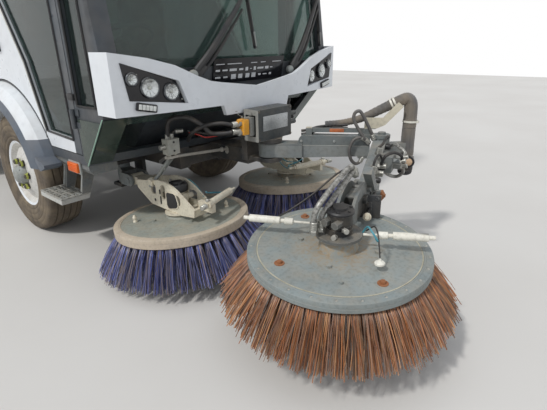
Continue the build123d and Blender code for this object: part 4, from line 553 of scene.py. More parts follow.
PAINTS = {
    "white": surface("paint_white", tint(226, 229, 231), 0.32, dust=0.16, size=2.2, blotch=0.04, grain=0.0001,
                     grime=0.12),
    "anthracite": surface("plastic_anthracite", PLASTIC, 0.55, dust=0.28, size=3, grain=0.0004, fine=420),
    "black": surface("plastic_black", tint(24, 26, 30), 0.42, dust=0.07, fine=380),
    "gloss_black": surface("gloss_black", tint(12, 14, 22), 0.16, dust=0.03, grain=0.0001),
    "grey": surface("paint_grey", tint(112, 118, 118), dust=0.35, wear=0.6, size=7),
    "pale_grey": surface("paint_pale_grey", tint(150, 154, 150), dust=0.35, wear=0.5, size=7),
    "cream": surface("paint_cream", tint(226, 218, 196), 0.45, size=9, wear=0.5, bare=RUST),
    "steel": surface("steel_bare", tint(178, 178, 172), 0.38, 0.85, dust=0.2, size=12, grain=0.0002, fine=500),
    "dark_steel": surface("steel_dark", tint(64, 60, 56), 0.5, 0.5, dust=0.35, size=12, wear=0.6),
    "rust": surface("rusty_steel", tint(150, 96, 60), 0.85, 0.1, dust=0.25, size=20, grain=0.0008,
                    dirt=tint(190, 160, 130)),
    "chrome": surface("chrome_bright", tint(214, 216, 218), 0.10, 1.0, dust=0.05, blotch=0.04, size=10,
                      grain=0.00005),
    "hose": surface("hose_rubber", tint(34, 34, 36), 0.45, dust=0.14, size=14, grain=0.0004, fine=600),
    "pale": surface("paint_pale", tint(232, 228, 214), 0.42, dust=0.22, size=12, wear=0.4),
    "groove_tan": surface("groove_dust", tint(188, 182, 160), 0.8, dust=0.2, size=20, blotch=0.3),
    "tan": surface("rubber_tan", tint(206, 174, 140), 0.6, dust=0.25, size=20),
    # Painted shade: a dark paint for the bracket plate, which is light grey and dark only where it lies in shade.
    "shade_painted_dark": surface("paint_dark", tint(48, 50, 52), size=10, wear=0.5),
    # Painted glints: the strong bright and dark blotches on the guard stand in for its highlights.
    "guard": surface("hose_guard", tint(168, 167, 161), 0.36, 0.3, dust=0.15, size=80, blotch=0.72),
    "hose_grey": surface("hose_worn", tint(96, 94, 92), 0.4, dust=0.2, size=14, grain=0.0004, fine=600),
    "reflector": surface("lens_orange", tint(204, 112, 62), 0.3, size=30, blotch=0.3),
    "dark_chrome": surface("chrome_dark", tint(96, 100, 104), 0.2, 0.9, dust=0.1, size=20, grain=0.0001),
    "bulb": surface("lamp_bulb", tint(236, 238, 232), 0.12, dust=0.05, size=30, grain=0.0001),
    "dark_glass": surface("glass_bonded", tint(46, 60, 54), 0.05, dust=0.25, dirt=tint(130, 132, 112),
                          grain=0.00005),
    "edge_green": surface("glass_edge", tint(150, 184, 164), 0.2, dust=0.1, size=20),
    "teal": surface("cable_teal", tint(70, 150, 165), 0.4, dust=0.2, size=20),
    "amber": surface("lens_amber", tint(240, 110, 30), 0.15, dust=0.08, size=20, grain=0.0002, fine=700),
    "red": surface("lens_red", tint(170, 24, 20), 0.15, dust=0.08, size=20, grain=0.0002, fine=700),
    "yellow": surface("paint_yellow", tint(238, 166, 40), 0.42, dust=0.2, size=16, wear=0.4),
    "indicator": surface("plastic_yellow", tint(176, 182, 84), dust=0.45, size=30, dirt=tint(70, 66, 60)),
    "mark": surface("label_marks", tint(206, 208, 208), dust=0.1, size=30),
    "mirror": surface("mirror_glass", tint(190, 198, 204), 0.04, 1.0, dust=0.05, grain=0.00002),
    "plate": surface("plate_silver", tint(176, 180, 182), 0.35, 0.8, dust=0.12, size=14, grain=0.0002, fine=420),
    "galvanised": surface("steel_galvanised", tint(172, 172, 166), 0.5, 0.35, dust=0.4, size=14, wear=0.4),
    "cast": surface("engine_cast", tint(92, 90, 88), 0.75, 0.3, dust=0.4, size=12, grain=0.001, fine=160),
    "ring_tan": surface("ring_dusty", tint(192, 178, 158), 0.7, dust=0.5, size=9, grain=0.0006, wear=0.4),
    "ring_grey": surface("ring_grey", tint(134, 142, 140), 0.6, dust=0.28, size=9, grain=0.0005, wear=0.5),
    "glass": glass("glass_tinted", (0.28, 0.385, 0.355, 1)),
    "door_glass": glass("glass_dark", (0.15, 0.21, 0.20, 1)),
    "clear": glass("lens_clear", (0.93, 0.95, 0.95, 1), 0.02, 1.0),
    "sleeve": woven("sleeve_cloth", tint(98, 97, 96), 0.85, 130),
    "seat": woven("seat_cloth", tint(52, 54, 60), 0.8, 160),
    "blue_tines": tine_paint("tines_blue", [
        tint(36, 38, 50), tint(88, 102, 178), tint(52, 58, 88), tint(146, 130, 124),
        tint(66, 78, 132), tint(44, 42, 50), tint(128, 138, 196), tint(100, 88, 86)], 0.2),
    "brown_tines": tine_paint("tines_brown", [
        tint(88, 60, 46), tint(190, 120, 72), tint(120, 88, 72), tint(206, 150, 102),
        tint(70, 52, 44), tint(160, 122, 102), tint(104, 72, 56), tint(170, 108, 68)], 0.25),
    "cab": surface("cab_paint", PLASTIC, dust=0.2, size=3, grime=0.15, zones=[
        ("in_box", ((-WIDE, 135, 0), (WIDE, 6000, 3000)), WHITE)]),
    "door": surface("door_paint", tint(226, 229, 231), 0.32, dust=0.16, size=2.2, blotch=0.04, grime=0.12, zones=[
        ("in_box", ((-WIDE, -900, 0), (WIDE, -795, 3000)), PLASTIC)]),
    "fender": surface("fender_paint", WHITE, 0.45, dust=0.22, size=3, grime=0.2, zones=[
        ("near_line", (spot(0, 0, 372), OUT, 0.500, 0.004), SLATE),
        ("in_box", ((-WIDE, -WIDE, 0), (WIDE, WIDE, 655)), SLATE)]),
    "step": surface("step_steel", tint(112, 116, 116), 0.6, dust=0.45, size=9, wear=0.5, zones=[
        ("in_box", ((-WIDE, -700, 300), (WIDE, -380, 362)), tint(190, 190, 184))]),
    "frame": surface("frame_paint", tint(52, 54, 56), 0.6, dust=0.4, wear=0.4, zones=frame_zones()),
    # Painted light: the pale grey box on the cheek towards negative x is a sunlit copy of the dark box paint.
    "box": surface("box_paint", tint(58, 64, 66), 0.45, dust=0.18, size=10, wear=0.5, zones=[
        ("in_box", ((-300, -1420, 600), (-134, -1300, 820)), tint(150, 150, 144))]),
    "boom": surface("boom_paint", tint(108, 115, 115), size=6, wear=0.6, zones=[
        ("in_box", ((-WIDE, -3000, 500), (WIDE, 0, 605.5)), tint(132, 137, 135)),
        ("in_box", ((-WIDE, -3000, 694), (WIDE, 0, 900)), tint(206, 198, 176))]),
    "jib": surface("jib_paint", tint(118, 122, 120), dust=0.35, size=7, wear=0.6, zones=[
        ("in_box", ((380, -2040, 440), (520, -1870, 535)), tint(26, 26, 28)),
        ("near_line", (spot(448, -1957, 600), UP, 0.0345), tint(172, 166, 152))]),
    "channel_plate": surface("plate_green_grey", tint(150, 154, 144), 0.62, dust=0.35, size=8,
                             grain=0.0005, zones=[
        ("near_point", (CHANNEL_AT.translation, 0.09, 0.19), tint(176, 156, 128), 0.95)]),
    "third_plate": surface("plate_blue_grey", tint(140, 147, 144), 0.6, dust=0.28, size=8,
                           grain=0.0005, zones=[
        ("near_point", (THIRD_AT.translation, 0.08, 0.2), tint(172, 152, 124), 0.9)]),
    "channel_head": surface("head_cream", tint(222, 214, 192), dust=0.35, size=10, wear=0.6, bare=RUST),
    # Grey head paint, with painted shade on the bracket's cheek.
    "third_head": surface("head_grey", tint(112, 117, 116), dust=0.35, size=10, wear=0.6, zones=third_zones()),
    "rim": surface("rim_white", tint(214, 212, 206), 0.42, dust=0.35, size=7, grain=0.0004),
    "barrel": surface("barrel_paint", tint(70, 72, 74), 0.45, dust=0.35, size=9, wear=0.4),
    "tyre": surface("tyre_dusty", tint(96, 86, 74), 0.85, dust=0.75, dirt=tint(166, 148, 120), size=6,
                    blotch=0.3, grain=0.0006),
}
NODE_PAINTS = {
    "white": "cab_roof front_panel engine_cover hopper hopper_door",
    "anthracite": "dashboard",
    "gloss_black": "lamp_housings",
    "black": "engine_grilles steering_column wipers mirrors rear_lamps",
    "glass": "windscreen",
    "door_glass": "side_glass door_glass_*",
    "grey": "channel_arm_* knuckle_*",
    "pale_grey": "hopper_tub suction_duct",
    "dark_steel": "front_axle rear_axle",
    "cast": "engine_block",
    "clear": "headlamps",
    "amber": "beacon",
    "seat": "seats",
    "hose": "head_hoses boom_hoses",
    "chrome": "tip_rod",
    "blue_tines": "channel_bristles_*",
    "brown_tines": "third_bristles",
    "cab": "cab_shell",
    "door": "door_*",
    "fender": "fender_*",
    "step": "side_step_*",
    "frame": "chassis_frame",
    "box": "front_box",
    "boom": "boom",
    "jib": "jib",
    "channel_plate": "channel_plate_*",
    "third_plate": "third_plate",
    "channel_head": "channel_head_*",
    "third_head": "third_head",
    "rim": "rim_front_* rim_rear_*",
    "barrel": "tip_barrel",
    "tyre": "tyre_front_* tyre_rear_*",
}


def dress_nodes():
    """Gives every CAD node its finish."""
    for finish, names in NODE_PAINTS.items():
        for name in names.split():
            for side, _ in SIDES:
                for place in nodes[name.replace("*", side)].material_slots:
                    place.material = PAINTS[finish]


# Brushes: backing ring with its rivets, and every tine

LIP_WIDTH = 0.036


def make_ring(brush, name, body, node):
    """The backing ring: rounded lip, groove line and side, under the plate's edge, and its rivets."""
    disc, height = brush["disc"] / 1000, brush["height"] / 1000
    lip = disc - LIP_WIDTH
    ring = Shape()
    ring.lathe([(lip - 0.058, -0.0135), (lip - 0.001, -0.0135), (lip - 0.001, -0.001), (lip + 0.001, 0.0012),
                (lip + 0.006, 0.0016), (lip + 0.0075, 0.0002), (lip + 0.009, 0.0016), (disc - 0.006, 0.001),
                (disc - 0.0015, -0.0012), (disc, -0.006), (disc, -0.018), (disc - 0.0015, -0.0195), (disc, -0.021),
                (disc, -height + 0.003), (disc - 0.003, -height), (disc - 0.09, -height), (disc - 0.094, -0.020)],
               brush["at"], 128, loop=True)
    ring.done("ring_" + name, body, brush["ring"], "light_grey_paint", node)
    if brush["rivets"]:
        heads = Shape()
        for i in range(brush["rivets"]):
            foot = around(brush["at"], disc - 0.016, tau * (i + 0.3) / brush["rivets"], 0.0008)
            heads.lathe([(0.0052, 0), (0.0048, 0.0016), (0.0026, 0.003)], foot, 10)
        heads.done("rivets_" + name, body, "steel", "galvanised_steel")


TUFTS = 48
ROOT_DEPTH = 0.042
LOWEST = 0.003  # no tip is closer to the ground


def make_tines(brush, name, body, node, sign=1):
    """Curved tines in tufts, splayed from three rows of roots, each a slim three-sided strand."""
    disc, tip, depth, inmost = (brush[key] / 1000 for key in ("disc", "tip", "depth", "inmost"))
    bunch = brush["bunch"]
    verts = []
    faces = []
    steps = 4
    for root, reach, count in ((disc - 0.016, tip - 0.008, 1500), (disc - 0.046, tip - 0.05, 1000),
                               (disc - 0.078, tip - 0.10, 620)):
        for i in range(count):
            tuft = (i * TUFTS // count + 0.5) / TUFTS
            spin = tau * (i + random.random()) / count * (1 - bunch) + tau * tuft * bunch
            drift = random.gauss(0, 0.030)
            foot = Vector((cos(spin) * (root + random.uniform(-0.009, 0.009)),
                           sin(spin) * (root + random.uniform(-0.009, 0.009)), -ROOT_DEPTH))
            out = reach + random.gauss(0, 0.010)
            length = depth - random.random() ** 3 * 0.030
            end = Vector((cos(spin + drift) * out, sin(spin + drift) * out, -length))
            bend = foot.lerp(end, 0.5) + Vector((cos(spin), sin(spin), 0)) * random.uniform(0.004, 0.020)
            bend += Vector((random.gauss(0, 0.003), random.gauss(0, 0.003), 0))
            thick = random.uniform(0.0012, 0.0021)
            first = len(verts)
            for step in range(steps + 1):
                t = step / steps
                point = foot * (1 - t) ** 2 + bend * 2 * t * (1 - t) + end * t * t
                for corner in range(3):
                    turn = tau * corner / 3 + spin
                    verts.append(brush["at"] @ (point + Vector((cos(turn), sin(turn), 0)) * thick))
            for step in range(steps):
                for corner in range(3):
                    a = first + step * 3 + corner
                    b = first + step * 3 + (corner + 1) % 3
                    faces.append((a, b, b + 3, a + 3))
            faces.append((first + steps * 3, first + steps * 3 + 1, first + steps * 3 + 2))
            faces.append((first + 2, first + 1, first))
    verts = [(sign * max(v.x, inmost), v.y, max(v.z, LOWEST)) for v in verts]
    mesh = bpy.data.meshes.new(name)
    mesh.from_pydata(verts, [], faces if sign > 0 else [face[::-1] for face in faces])
    finish_piece(mesh, brush["tines"], 80, "tines_" + name, body, brush["slot"], node)


def make_brushes():
    """Rings and tines of all three brushes, studs on two plates, groove, bolts and bell on the third."""
    make_ring(CHANNEL, "channel_*", "channel_brush_*", "channel_bristles_*")
    for side, sign in SIDES:
        make_tines(CHANNEL, "channel_" + side, "channel_brush_" + side, "channel_bristles_" + side, sign)
    studs = Shape()
    for spin in (215, 35):
        foot = around(CHANNEL_AT, 0.24, radians(spin))
        studs.bolt(foot, 0.0125, 0.009)
        studs.lathe([(0.0076, 0.008), (0.0076, 0.034), (0.0055, 0.0375)], foot, 16)
        studs.bolt(moved(foot, 0, 0, 0.018), 0.012, 0.009)
    studs.done("studs_channel_*", "channel_brush_*", "cream", "galvanised_steel")
    make_ring(THIRD, "third", "third_brush", "third_bristles")
    groove = Shape()
    groove.lathe([(0.3085, -0.002), (0.3085, 0.0005), (0.3095, 0.0010), (0.3120, 0.0010), (0.3130, 0.0004),
                  (0.3130, -0.002)], THIRD_AT, 128, loop=True)
    groove.done("groove_third", "third_brush", "groove_tan", "light_grey_paint")
    make_tines(THIRD, "third", "third_brush", "third_bristles")
    rusty = Shape()
    for spin, reach in ((157, 0.253), (246, 0.268), (64, 0.275)):
        foot = around(THIRD_AT, reach, radians(spin))
        rusty.lathe([(0.019, 0), (0.019, 0.0022), (0.011, 0.003)], foot, 20)
        rusty.bolt(moved(foot, 0, 0, 0.002), 0.011, 0.010)
    rusty.done("bolts_third", "third_brush", "rust", "galvanised_steel")
    bell = Shape()
    bell.lathe([(0.074, 0.0), (0.073, 0.004), (0.066, 0.010), (0.063, 0.030), (0.062, 0.046), (0.058, 0.0505)],
               THIRD_AT, 48)
    bell.done("bell_third", "third_brush", "dark_steel", "dark_grey_paint")


# Wheels

TYRE_SIDE = [(0.206, 0.0895), (0.2085, 0.0965), (0.2175, 0.1035), (0.2305, 0.107), (0.2335, 0.1052),
             (0.2360, 0.1078), (0.262, 0.1112), (0.2655, 0.1098), (0.269, 0.1115), (0.300, 0.1112),
             (0.3030, 0.1094), (0.306, 0.1106), (0.327, 0.1085), (0.3300, 0.1070), (0.3330, 0.1078),
             (0.352, 0.1035), (0.3630, 0.0970), (0.3685, 0.0850), (0.3705, 0.074)]
HUB_FACE = 0.0895


def make_wheels():
    """Ribbed tyres with moulded side walls, hub caps, nuts, their pointers and the rims' lips."""
    tread = []
    for groove in (0.060, 0.020, -0.020, -0.060):
        tread += [(0.372, groove + 0.0050), (0.3645, groove + 0.0032), (0.3630, groove + 0.0022),
                  (0.3630, groove - 0.0022), (0.3645, groove - 0.0032), (0.372, groove - 0.0050)]
    for name, out in (("front_l", 1), ("front_r", -1), ("rear_l", 1), ("rear_r", -1)):
        body = "wheel_" + name
        at = standing(middle("tyre_" + name), (out, 0, 0), BACK)
        tyre = Shape()
        tyre.lathe(TYRE_SIDE + tread + [(r, -z) for r, z in reversed(TYRE_SIDE)], at, 112, loop=True)
        tyre.done("tread_" + name, body, "tyre", "tyre_rubber", "tyre_" + name, crisp=50)
        cap = Shape()
        cap.lathe([(r, HUB_FACE + z) for r, z in ((0.068, 0.0055), (0.0675, 0.0120), (0.0585, 0.0310),
                                                  (0.0440, 0.0515), (0.0300, 0.0575), (0.0100, 0.0590))], at, 40)
        for i in range(8):
            cap.bolt(around(at, 0.052, tau * i / 8, HUB_FACE + 0.036), 0.006, 0.006)
        cap.done("hub_" + name, body, "pale_grey", "grey_paint")
        nuts = Shape()
        pointers = Shape()
        for i in range(6):
            spin = tau * i / 6
            foot = around(at, 0.085, spin, HUB_FACE + 0.006)
            nuts.lathe([(0.021, 0), (0.021, 0.003), (0.0165, 0.004)], foot, 20)
            nuts.bolt(moved(foot, 0, 0, 0.004), 0.0155, 0.0235)
            pointers.lathe([(0.0178, 0.010), (0.0182, 0.014), (0.0178, 0.020), (0.0150, 0.021)], foot, 16)
            turn = moved(foot @ Matrix.Rotation(spin + 0.9, 4, "Z"), 0.022, 0, 0.014)
            pointers.block(turn @ Matrix.Rotation(0.2, 4, "Y"), (0.020, 0.010, 0.004), 0.0016)
        nuts.done("nuts_" + name, body, "dark_steel", "galvanised_steel")
        pointers.done("pointers_" + name, body, "indicator", "amber_lens")
        lip = Shape()
        for turn in (1, -1):
            lip.lathe([(r, turn * z) for r, z in ((0.2062, 0.0895), (0.2100, 0.0930), (0.2096, 0.0958),
                                                  (0.2040, 0.0945), (0.1935, 0.0895), (0.1930, 0.0875))], at, 72,
                      loop=True)
        lip.done("lip_" + name, body, "white", "wheel_paint")


# Boom, jib and the third brush's head

BOOM_DIR = Vector((0.5524, -0.8336, 0))
BOOM_SIDE = Vector((-0.8336, -0.5524, 0))
JIB_SIDE = Vector((-0.2926, 0.9562, 0))
ELBOW = (448, -1957)


def boom_at(u, z, side):
    """A point of the boom's frame: reach from the post, height, offset to the camera's side, in millimetres."""
    return spot(0.5524 * u - 0.8336 * side, -1365 - 0.8336 * u - 0.5524 * side, z)


def jib_at(u, z, side):
    """A point of the jib's frame: reach from the elbow, height, offset away from the camera, in millimetres."""
    return spot(330 - 0.9562 * u - 0.2926 * side, -1863 - 0.2926 * u + 0.9562 * side, z)


def boom_path(*points):
    """Several points of the boom."""
    return [boom_at(*point) for point in points]


def jib_path(*points):
    """Several points of the jib."""
    return [jib_at(*point) for point in points]


def make_boom_hoses():
    """The wrinkled sleeve over the elbow, its clamps, two stiff loops, feed hoses, reflector and seams."""
    sleeve = Shape()
    route = [(300, 708, -34), (400, 716, -42), (493, 738, -48), (610, 795, -48), (685, 830, -48), (720, 838, -48),
             (738, 815, -48), (742, 760, -48), (742, 690, -48)]
    sizes = [0.015, 0.017, 0.021, 0.025, 0.029, 0.032, 0.034, 0.0345, 0.0345]
    sleeve.tube(boom_path(*route), sizes, 28, ripple=0.0011, steps=12)
    sleeve.done("sleeve", "boom_arm", "sleeve", "hose_rubber", "boom_hoses", crisp=60)
    lower = Shape()
    lower.tube([spot(*ELBOW, z) for z in (545, 575, 610, 650, 688)], [0.037, 0.0362, 0.0352, 0.0352, 0.0348], 28,
               ripple=0.0008, steps=9)
    lower.done("sleeve_lower", "jib_arm", "sleeve", "hose_rubber", crisp=60)
    loops = Shape()
    ends = Shape()
    for route in ([(530, 622, 34), (500, 655, 54), (450, 735, 55), (445, 772, 55), (462, 790, 55), (484, 778, 55),
                   (536, 684, 44), (556, 640, 30)],
                  [(511, 640, 36), (490, 656, 52), (450, 642, 57), (430, 590, 58), (440, 540, 54), (466, 512, 42),
                   (492, 520, 28), (504, 545, 22)]):
        line = boom_path(*route)
        loops.tube(line, 0.0086, 12, ripple=0.0002)
        ends.ferrule(line[0], line[1] - line[0])
        ends.ferrule(line[-1], line[-2] - line[-1])
    loops.done("loops_boom", "boom_arm", "hose_grey", "hose_rubber", "boom_hoses", crisp=60)
    ends.done("loop_ends_boom", "boom_arm", "steel", "galvanised_steel")
    clamps = Shape()
    along = boom_at(690, 834, -48) - boom_at(610, 795, -48)
    for foot, heading, radius in ((boom_at(655, 818, -48), along, 0.0285), (boom_at(640, 810, -48), along, 0.0278),
                                  (boom_at(744, 724, -48), UP, 0.0362)):
        at = standing(foot, heading, (0.2, 0.1, 0.3) if heading is along else OUT)
        clamps.lathe([(radius, -0.005), (radius + 0.003, -0.005), (radius + 0.003, 0.005), (radius, 0.005)], at,
                     28, loop=True)
        clamps.block(moved(at, 0, -radius - 0.005, 0), (0.016, 0.012, 0.011), 0.002)
    clamps.done("clamps_boom", "boom_arm", "pale", "light_grey_paint")
    rear = Shape()
    for drop in (0, 26):
        rear.tube([boom_at(u, z - drop * 0.7, side) for u, z, side in
                   ((172, 672, -22), (215, 678, -26), (262, 692, -30), (330, 700 + drop * 0.3, -34), (420, 706, -26))],
                  0.0075)
    rear.done("feed_hoses_boom", "boom_arm", "hose", "hose_rubber", crisp=60)
    flash = Shape()
    flash.block(standing(boom_at(362, 682, 10.5), BOOM_SIDE, BOOM_DIR), (0.074, 0.019, 0.003), 0.0008)
    flash.done("reflector_boom", "boom_arm", "reflector", "amber_lens")
    seam = Shape()
    for side in (36.4, -36.4):
        seam.rod([boom_at(u, 605.5, side) for u in (168, 300, 420, 530)], 0.0022)
    for u in (176, 350, 520):
        seam.bolt(standing(boom_at(u, 628, 33), BOOM_SIDE, UP), 0.0075, 0.005)
    seam.done("seam_boom", "boom_arm", "pale_grey", "light_grey_paint")


def make_jib_details():
    """Eye and rubber dome under the sleeve, unions, guarded hoses, caps and the rusty lift pivot."""
    dome = Shape()
    dome.lathe([(0.012, 0.0), (0.026, 0.003), (0.0355, 0.010), (0.0385, 0.018), (0.0385, 0.028), (0.036, 0.034)],
               stand(*ELBOW, 432), 36)
    dome.done("buffer_jib", "jib_arm", "black", "black_plastic")
    eye = Shape()
    facing = Vector((-0.92, -0.39, 0.05))
    at = stand(456, -1970, 511, facing, UP)
    eye.lathe([(0.0315, 0.030), (0.0315, 0.0420), (0.0285, 0.0455), (0.0215, 0.0455), (0.0205, 0.0430)], at, 32)
    eye.done("eye_jib", "jib_arm", "black", "black_plastic")
    core = Shape()
    core.lathe([(0.0205, 0.0420), (0.0200, 0.0460), (0.0150, 0.0500), (0.0060, 0.0515)], at, 28)
    core.done("eye_core_jib", "jib_arm", "tan", "light_grey_paint")
    pivot = Shape()
    at = standing(jib_at(400, 467, -84), -JIB_SIDE, UP)
    pivot.lathe([(0.0245, -0.002), (0.0250, 0.004), (0.0215, 0.007), (0.0165, 0.0075), (0.0150, 0.0120),
                 (0.0075, 0.0125)], at, 28)
    pivot.bolt(moved(at, 0, 0, 0.012), 0.0095, 0.006)
    pivot.done("pivot_jib", "jib_arm", "rust", "galvanised_steel")
    fittings = Shape()
    for u, z, side, rise, radius, length in (
            (112, 574, -126, 0.25, 0.0115, 0.030), (150, 538, -126, 0.25, 0.0115, 0.034),
            (186, 574, -126, 0.25, 0.0115, 0.028), (245, 560, -32, 0, 0.013, 0.040),
            (285, 536, -32, 0, 0.012, 0.036), (262, 520, -32, 0, 0.010, 0.030)):
        fittings.ferrule(jib_at(u, z, side), Vector((0, 0, rise)) - JIB_SIDE, radius, length)
    for u, z in ((320, 540), (212, 604)):
        fittings.ferrule(jib_at(u, z, -22), (0.1, -0.2, 1), 0.0145, 0.038)
    fittings.done("fittings_jib", "jib_arm", "steel", "galvanised_steel")
    caps = Shape()
    for u, z, side, radius in ((215, 548, -35, 0.021), (330, 512, -38, 0.014), (60, 612, -34, 0.016)):
        at = standing(jib_at(u, z, side), -JIB_SIDE, UP)
        caps.lathe([(radius, 0), (radius, 0.010), (radius * 1.06, 0.011), (radius * 1.06, 0.018),
                    (radius * 0.8, 0.026), (radius * 0.3, 0.028)], at, 24)
    caps.done("caps_jib", "jib_arm", "black", "black_plastic")
    guarded = Shape()
    plain = Shape()
    guarded.tube(jib_path((112, 578, -134), (104, 600, -136), (84, 618, -108), (50, 624, -78), (40, 600, -46)),
                 0.0085, 12, ripple=0.0007, steps=10)
    guarded.tube(jib_path((150, 538, -134), (144, 514, -142), (132, 484, -118), (134, 482, -84), (156, 504, -52),
                          (172, 520, -32)), 0.0085, 12, ripple=0.0007, steps=10)
    plain.tube(jib_path((186, 580, -134), (200, 606, -132), (232, 626, -104), (262, 616, -70), (258, 580, -52),
                        (246, 562, -48)), 0.0075, 12)
    plain.tube(jib_path((30, 646, -30), (70, 668, -46), (130, 676, -46), (190, 656, -40), (212, 640, -24)),
               0.0065, 12)
    plain.tube(jib_path((320, 576, -24), (312, 606, -30), (280, 622, -40), (236, 600, -44), (222, 566, -52)),
               0.006, 12)
    guarded.done("guarded_hoses_jib", "jib_arm", "guard", "hose_rubber", crisp=60)
    plain.done("plain_hoses_jib", "jib_arm", "hose", "hose_rubber", crisp=60)


def make_third_head():
    """Guarded motor hoses with their ends, motor cover, bracket, washer bolt and the hanging cable."""
    hoses = Shape()
    ends = Shape()
    for route in ([(-548, -2055, 500), (-547, -2058, 545), (-505, -2068, 595), (-387, -2070, 655),
                   (-322, -2066, 668), (-268, -2050, 636)],
                  [(-512, -2062, 500), (-510, -2064, 525), (-472, -2070, 560), (-405, -2070, 600),
                   (-342, -2068, 632), (-296, -2060, 642), (-255, -2048, 618)]):
        line = spots(*route)
        hoses.tube(line, 0.0108, 14, ripple=0.0008, steps=12)
        for foot, heading in ((line[0] + Vector((0, 0, -0.036)), UP), (line[-1], line[-2] - line[-1])):
            ends.ferrule(foot, heading, 0.0155, 0.046)
    hoses.done("hoses_third", "third_carrier", "guard", "hose_rubber", "head_hoses", crisp=60)
    for spin, rise in ((70, 0.066), (108, 0.094), (250, 0.090), (285, 0.070)):
        turn = radians(spin) + 2.2
        foot = THIRD_AT @ Vector((cos(turn) * 0.047, sin(turn) * 0.047, rise))
        ends.ferrule(foot, THIRD_AT.to_3x3() @ Vector((cos(turn), sin(turn), 0.25)), 0.0105, 0.026)
    ends.done("hose_ends_third", "third_carrier", "steel", "galvanised_steel", "head_hoses")
    cover = Shape()
    cover.lathe([(0.052, 0.148), (0.0545, 0.150), (0.0545, 0.156), (0.049, 0.161), (0.030, 0.163), (0.028, 0.171),
                 (0.012, 0.172)], THIRD_AT, 36)
    for i in range(6):
        cover.bolt(around(THIRD_AT, 0.043, tau * i / 6 + 0.4, 0.159), 0.0065, 0.008)
    cover.done("motor_cover_third", "third_carrier", "black", "dark_grey_paint")
    # The plate's dark paint is painted shade on the light grey bracket's face.
    plate = Shape()
    facing = Vector((-0.89, -0.454, 0.05))
    at = stand(-176, -2072, 462, facing, UP)
    plate.block(at, (0.105, 0.110, 0.008), 0.003)
    for up, out in ((0.036, 0.038), (0.036, -0.038), (-0.036, 0.038)):
        plate.bolt(moved(at, up, out, 0.004), 0.0085, 0.006)
    plate.block(moved(at, -0.01, -0.006, 0.005), (0.060, 0.022, 0.010), 0.004)
    plate.done("bracket_third", "third_carrier", "shade_painted_dark", "dark_grey_paint")
    bolt = Shape()
    at = stand(-262, -2118, 452, facing, UP)
    bolt.lathe([(0.017, -0.004), (0.017, 0.003), (0.0145, 0.004)], at, 24)
    bolt.bolt(moved(at, 0, 0, 0.003), 0.0120, 0.009)
    bolt.done("washer_third", "third_carrier", "cream", "galvanised_steel")
    stub = Shape()
    stub.tube(jib_path((600, 440, -62), (560, 452, -62), (500, 470, -62), (452, 492, -62)), 0.0065)
    stub.tube(spots((-268, -2050, 640), (-330, -2020, 640), (-430, -1960, 560), (-500, -1900, 500),
                    (-520, -1860, 470)), 0.004, 8)
    stub.tube(spots((-420, -2200, 470), (-440, -2240, 505), (-470, -2270, 500), (-488, -2288, 462),
                    (-500, -2300, 425)), 0.0028, 8)
    stub.done("cables_third", "third_carrier", "hose", "hose_rubber", crisp=60)
    cap = Shape()
    cap.lathe([(0.0185, 0), (0.0185, 0.006), (0.014, 0.011), (0.006, 0.014), (0.004, 0.020)],
              stand(-502, -2302, 402), 24)
    cap.done("cable_cap_third", "third_carrier", "pale", "light_grey_paint")
    teal = Shape()
    teal.tube(spots((-455, -2205, 478), (-470, -2230, 512), (-492, -2262, 506), (-486, -2280, 478),
                    (-462, -2262, 470)), 0.0035, 8)
    teal.done("teal_cable_third", "third_carrier", "teal", "hose_rubber", crisp=60)


WINDOW = ((-1107, 402), (-1120, 411), (-1168, 414), (-1184, 408), (-1199, 370), (-1197, 350), (-1182, 338),
          (-1128, 324), (-1114, 328), (-1108, 340))


def window_ring(x, factor=1.0):
    """The cheek window's outline at x, grown about its middle."""
    ahead, up = (sum(point[i] for point in WINDOW) / len(WINDOW) for i in (0, 1))
    return on_side(x, *((ahead + (a - ahead) * factor, up + (z - up) * factor) for a, z in WINDOW))


